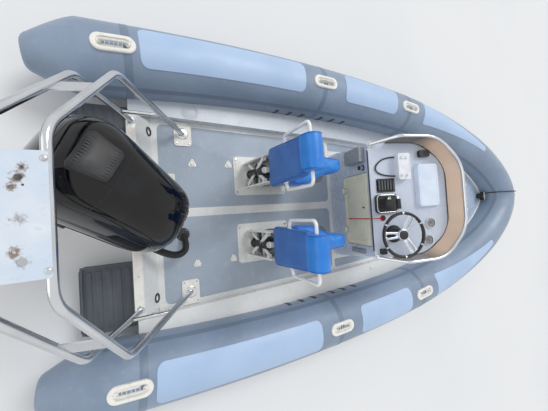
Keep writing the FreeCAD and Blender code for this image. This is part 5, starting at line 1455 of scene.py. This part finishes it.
hose_rubber = Finish("hose_rubber", (20, 20, 21), 0.42).mottle((48, 47, 45), 0.05, 0.5, 0.8, 0.5)
hose_rubber.relief(hose_rubber.cells(0.003), 0.0002)
HOSE = [(0.05343, -0.18043, 0.46615), (0.18420, -0.27574, 0.39952), (0.310, -0.315, 0.330),
        (0.385, -0.262, 0.250), (0.367, -0.171, 0.170)]
hose = Moulding("rigging_hose_skin")
hose_line = cord_line(HOSE)
spots, along = evenly(hose_line, 0.0012)
HOSE_REACH, RIDGE, RIDGE_STEP = 0.0222, 0.0026, 0.0088
ridges = [HOSE_REACH + RIDGE * math.cos(2 * math.pi * s / RIDGE_STEP) for s in along]
swept(hose, spots, ridges, hose_rubber, 28)
BEND_END = (0.100, -0.220, 0.440)
hose_piece = hose.ride("boat", "rigging_hose", keep=60, across=("motor_bracket", HOSE[4], BEND_END))
hose_foot = Moulding("hose_sole_flange")
lathe(hose_foot, mm((52, 0), (52, 3), (48, 6), (34, 8), (30, 16), (26.2, 18)), trim_rubber, at(*HOSE[4]), 44)
for k in range(4):
    screw_head(hose_foot, at(*HOSE[4], 45 + 90 * k) @ at(0.042, 0, 0.0065, -45 - 90 * k), 0.0038, stainless)
hose_foot.ride("boat")

curly_black = Finish("curly_lead", (24, 24, 26), 0.36).mottle((46, 46, 48), 0.02, 0.5, 0.75, 0.5)
curly_red = Finish("curly_red", (206, 38, 40), 0.34).mottle((160, 24, 30), 0.02, 0.45, 0.75, 0.6)
MIC_SPOTS = [(1.912, 0.345), (1.830, 0.345), (1.752, 0.285), (1.752, 0.228), (1.830, 0.194), (1.912, 0.190)]
MIC_LEAD = [(x, y, dash_z(x) + 0.009) for x, y in MIC_SPOTS]
mic_line = cord_line(MIC_LEAD)
mic_lead = Moulding("microphone_lead")
wound(mic_lead, mic_line, 0.0043, 0.0016, 0.0040, 0.0, curly_black)
mic_piece = mic_lead.ride("boat", "mic_cord", keep=60)

LANYARD = [(1.7742, -0.145, 0.924), (1.732, -0.144, 0.920), (1.684, -0.143, 0.890), (1.676, -0.142, 0.820),
           (1.677, -0.141, 0.752), (1.676, -0.140, 0.688)]
lanyard_line = cord_line(LANYARD)
lanyard = Moulding("stop_lanyard_coil")
wound(lanyard, lanyard_line, 0.0035, 0.0014, 0.0042, 0.0, curly_red)
lanyard_piece = lanyard.ride("boat", "stop_lanyard", keep=60)
clip_red = Finish("clip_plastic", (196, 40, 40), 0.35).mottle((150, 30, 32), 0.01)
clip_red.gloss_from(0.01, 0.06).on("lanyard_clip")

rope_black = Finish("rope_black", (30, 31, 34), 0.7).mottle((74, 76, 80), 0.012, 0.45, 0.75, 0.6)
rope_black.relief(rope_black.cloud(0.0012, 3.0), 0.0004)
ROPE = [(4.385, 0.0333, 0.446), (4.432, 0.038, 0.500), (4.4418, 0.040, 0.6028), (4.5230, 0.040, 0.7187),
        (4.6473, 0.040, 0.7627), (4.7755, 0.040, 0.7401), (4.8721, 0.040, 0.6531)]


STRAND_OUT, STRAND_REACH, LAY = 0.0029, 0.0032, 0.030


def laid_rope(moulding, line):
    """Three strands laid round each other."""
    for k in range(3):
        wound(moulding, line, STRAND_OUT, STRAND_REACH, LAY, 2 * math.pi * k / 3, rope_black, 16, 8)


rope = Moulding("bow_rope")
rope_line = cord_line(ROPE)
laid_rope(rope, rope_line)
rope_piece = rope.ride("boat", "bow_line", keep=60)
turns = Moulding("rope_turns_on_post")
POST_X = 4.385
coil_line = []
for k in range(3 * 30 + 1):
    c, s = circle(30)[-k % 30]
    coil_line.append(Vector((POST_X - 0.0213 * s, 0.0213 * c, 0.458 - 0.0105 * k / 30)))
laid_rope(turns, coil_line)
for k in range(3):
    reach, high = 0.0235 + 0.003 * k, 0.4715 + 0.0115 * k
    closed = circle(40) + [(1.0, 0.0)]
    laid_rope(turns, [Vector((POST_X + reach * c, 0.054 * s, high + 0.003 * s)) for c, s in closed])
turns_piece = turns.ride("boat", "bow_rope_coil", keep=60)
knot = Moulding("rope_end_knot")
for k in range(3):
    y = 0.0305 + 0.0092 * k
    ring = [(4.880 + 0.0092 * c, y + 0.002 * s, 0.641 + 0.0092 * s) for c, s in circle(28)]
    swept(knot, ring, 0.0052, rope_black, 10, wrap=True)
loop = [(4.874, 0.030, 0.648), (4.894, 0.030, 0.646), (4.906, 0.040, 0.640), (4.894, 0.050, 0.646),
        (4.874, 0.050, 0.648)]
swept(knot, cord_line(loop, 12), 0.0042, rope_black, 10)
shackle = []
for j in range(29):
    turn = math.radians(-140 + 280 * j / 28) - 1.0
    shackle.append(Vector((4.902 + 0.0158 * math.cos(turn), 0.040, 0.631 + 0.0158 * math.sin(turn))))
swept(knot, shackle, 0.0036, stainless, 12)
pin = [shackle[0].lerp(shackle[-1], share) for share in (-0.15, 1.15)]
swept(knot, pin, 0.0036, stainless, 12)
knot_piece = knot.ride("boat", "bow_knot", keep=40)


# Stage: a plain pale floor at the waterline, where the boat floats, soft studio
# light from above, and the camera over the cockpit at the photograph's angle.

floor_mesh = bpy.data.meshes.new("floor")
floor_mesh.from_pydata([(-40, -40, 0), (40, -40, 0), (40, 40, 0), (-40, 40, 0)], [], [(0, 1, 2, 3)])
floor = shown("floor", floor_mesh)
floor_finish = Finish("floor_pale", (232, 234, 236), 0.9).mottle((226, 229, 232), 3.0)
floor_mesh.materials.append(floor_finish.material)

world = bpy.data.worlds.new("studio")
bpy.context.scene.world = world
world.use_nodes = True
sky = world.node_tree.nodes
sky.clear()
join = world.node_tree.links.new
rays = sky.new("ShaderNodeLightPath")
seen = rays.outputs["Is Camera Ray"]
for also in ("Is Glossy Ray", "Is Transmission Ray"):
    either = sky.new("ShaderNodeMath")
    either.operation = "MAXIMUM"
    join(seen, either.inputs[0])
    join(rays.outputs[also], either.inputs[1])
    seen = either.outputs[0]
LIGHT_SHARE = 0.62
level = sky.new("ShaderNodeMapRange")
level.inputs["To Min"].default_value = LIGHT_SHARE
join(seen, level.inputs["Value"])
shell = sky.new("ShaderNodeBackground")
shell.inputs["Color"].default_value = (1.0, 1.0, 1.0, 1.0)
join(level.outputs[0], shell.inputs["Strength"])
join(shell.outputs[0], sky.new("ShaderNodeOutputWorld").inputs["Surface"])


def soft_sun(name, energy, spread, turns):
    """A sun lamp with a wide disc, its spread and turns in degrees."""
    lamp = bpy.data.lights.new(name, "SUN")
    lamp.energy = energy
    lamp.angle = math.radians(spread)
    shown(name, lamp).rotation_euler = [math.radians(turn) for turn in turns]


soft_sun("soft_key", 1.25, 25, (-28, 24, 0))
soft_sun("soft_fill", 0.55, 60, (0, -68, 0))
bpy.context.scene.view_settings.view_transform = "Standard"

PICTURE_WIDTH = 548
FOCAL_PIXELS = 278
eye = bpy.data.cameras.new("camera")
eye.sensor_width = 36.0
eye.lens = eye.sensor_width * FOCAL_PIXELS / PICTURE_WIDTH
eye.clip_start = 0.05
camera = shown("camera", eye)
camera.location = (-0.079, -0.040, 2.441)
camera.rotation_mode = "ZYX"
camera.rotation_euler = [math.radians(turn) for turn in (1.531, -29.544, -2.855)]
bpy.context.scene.camera = camera
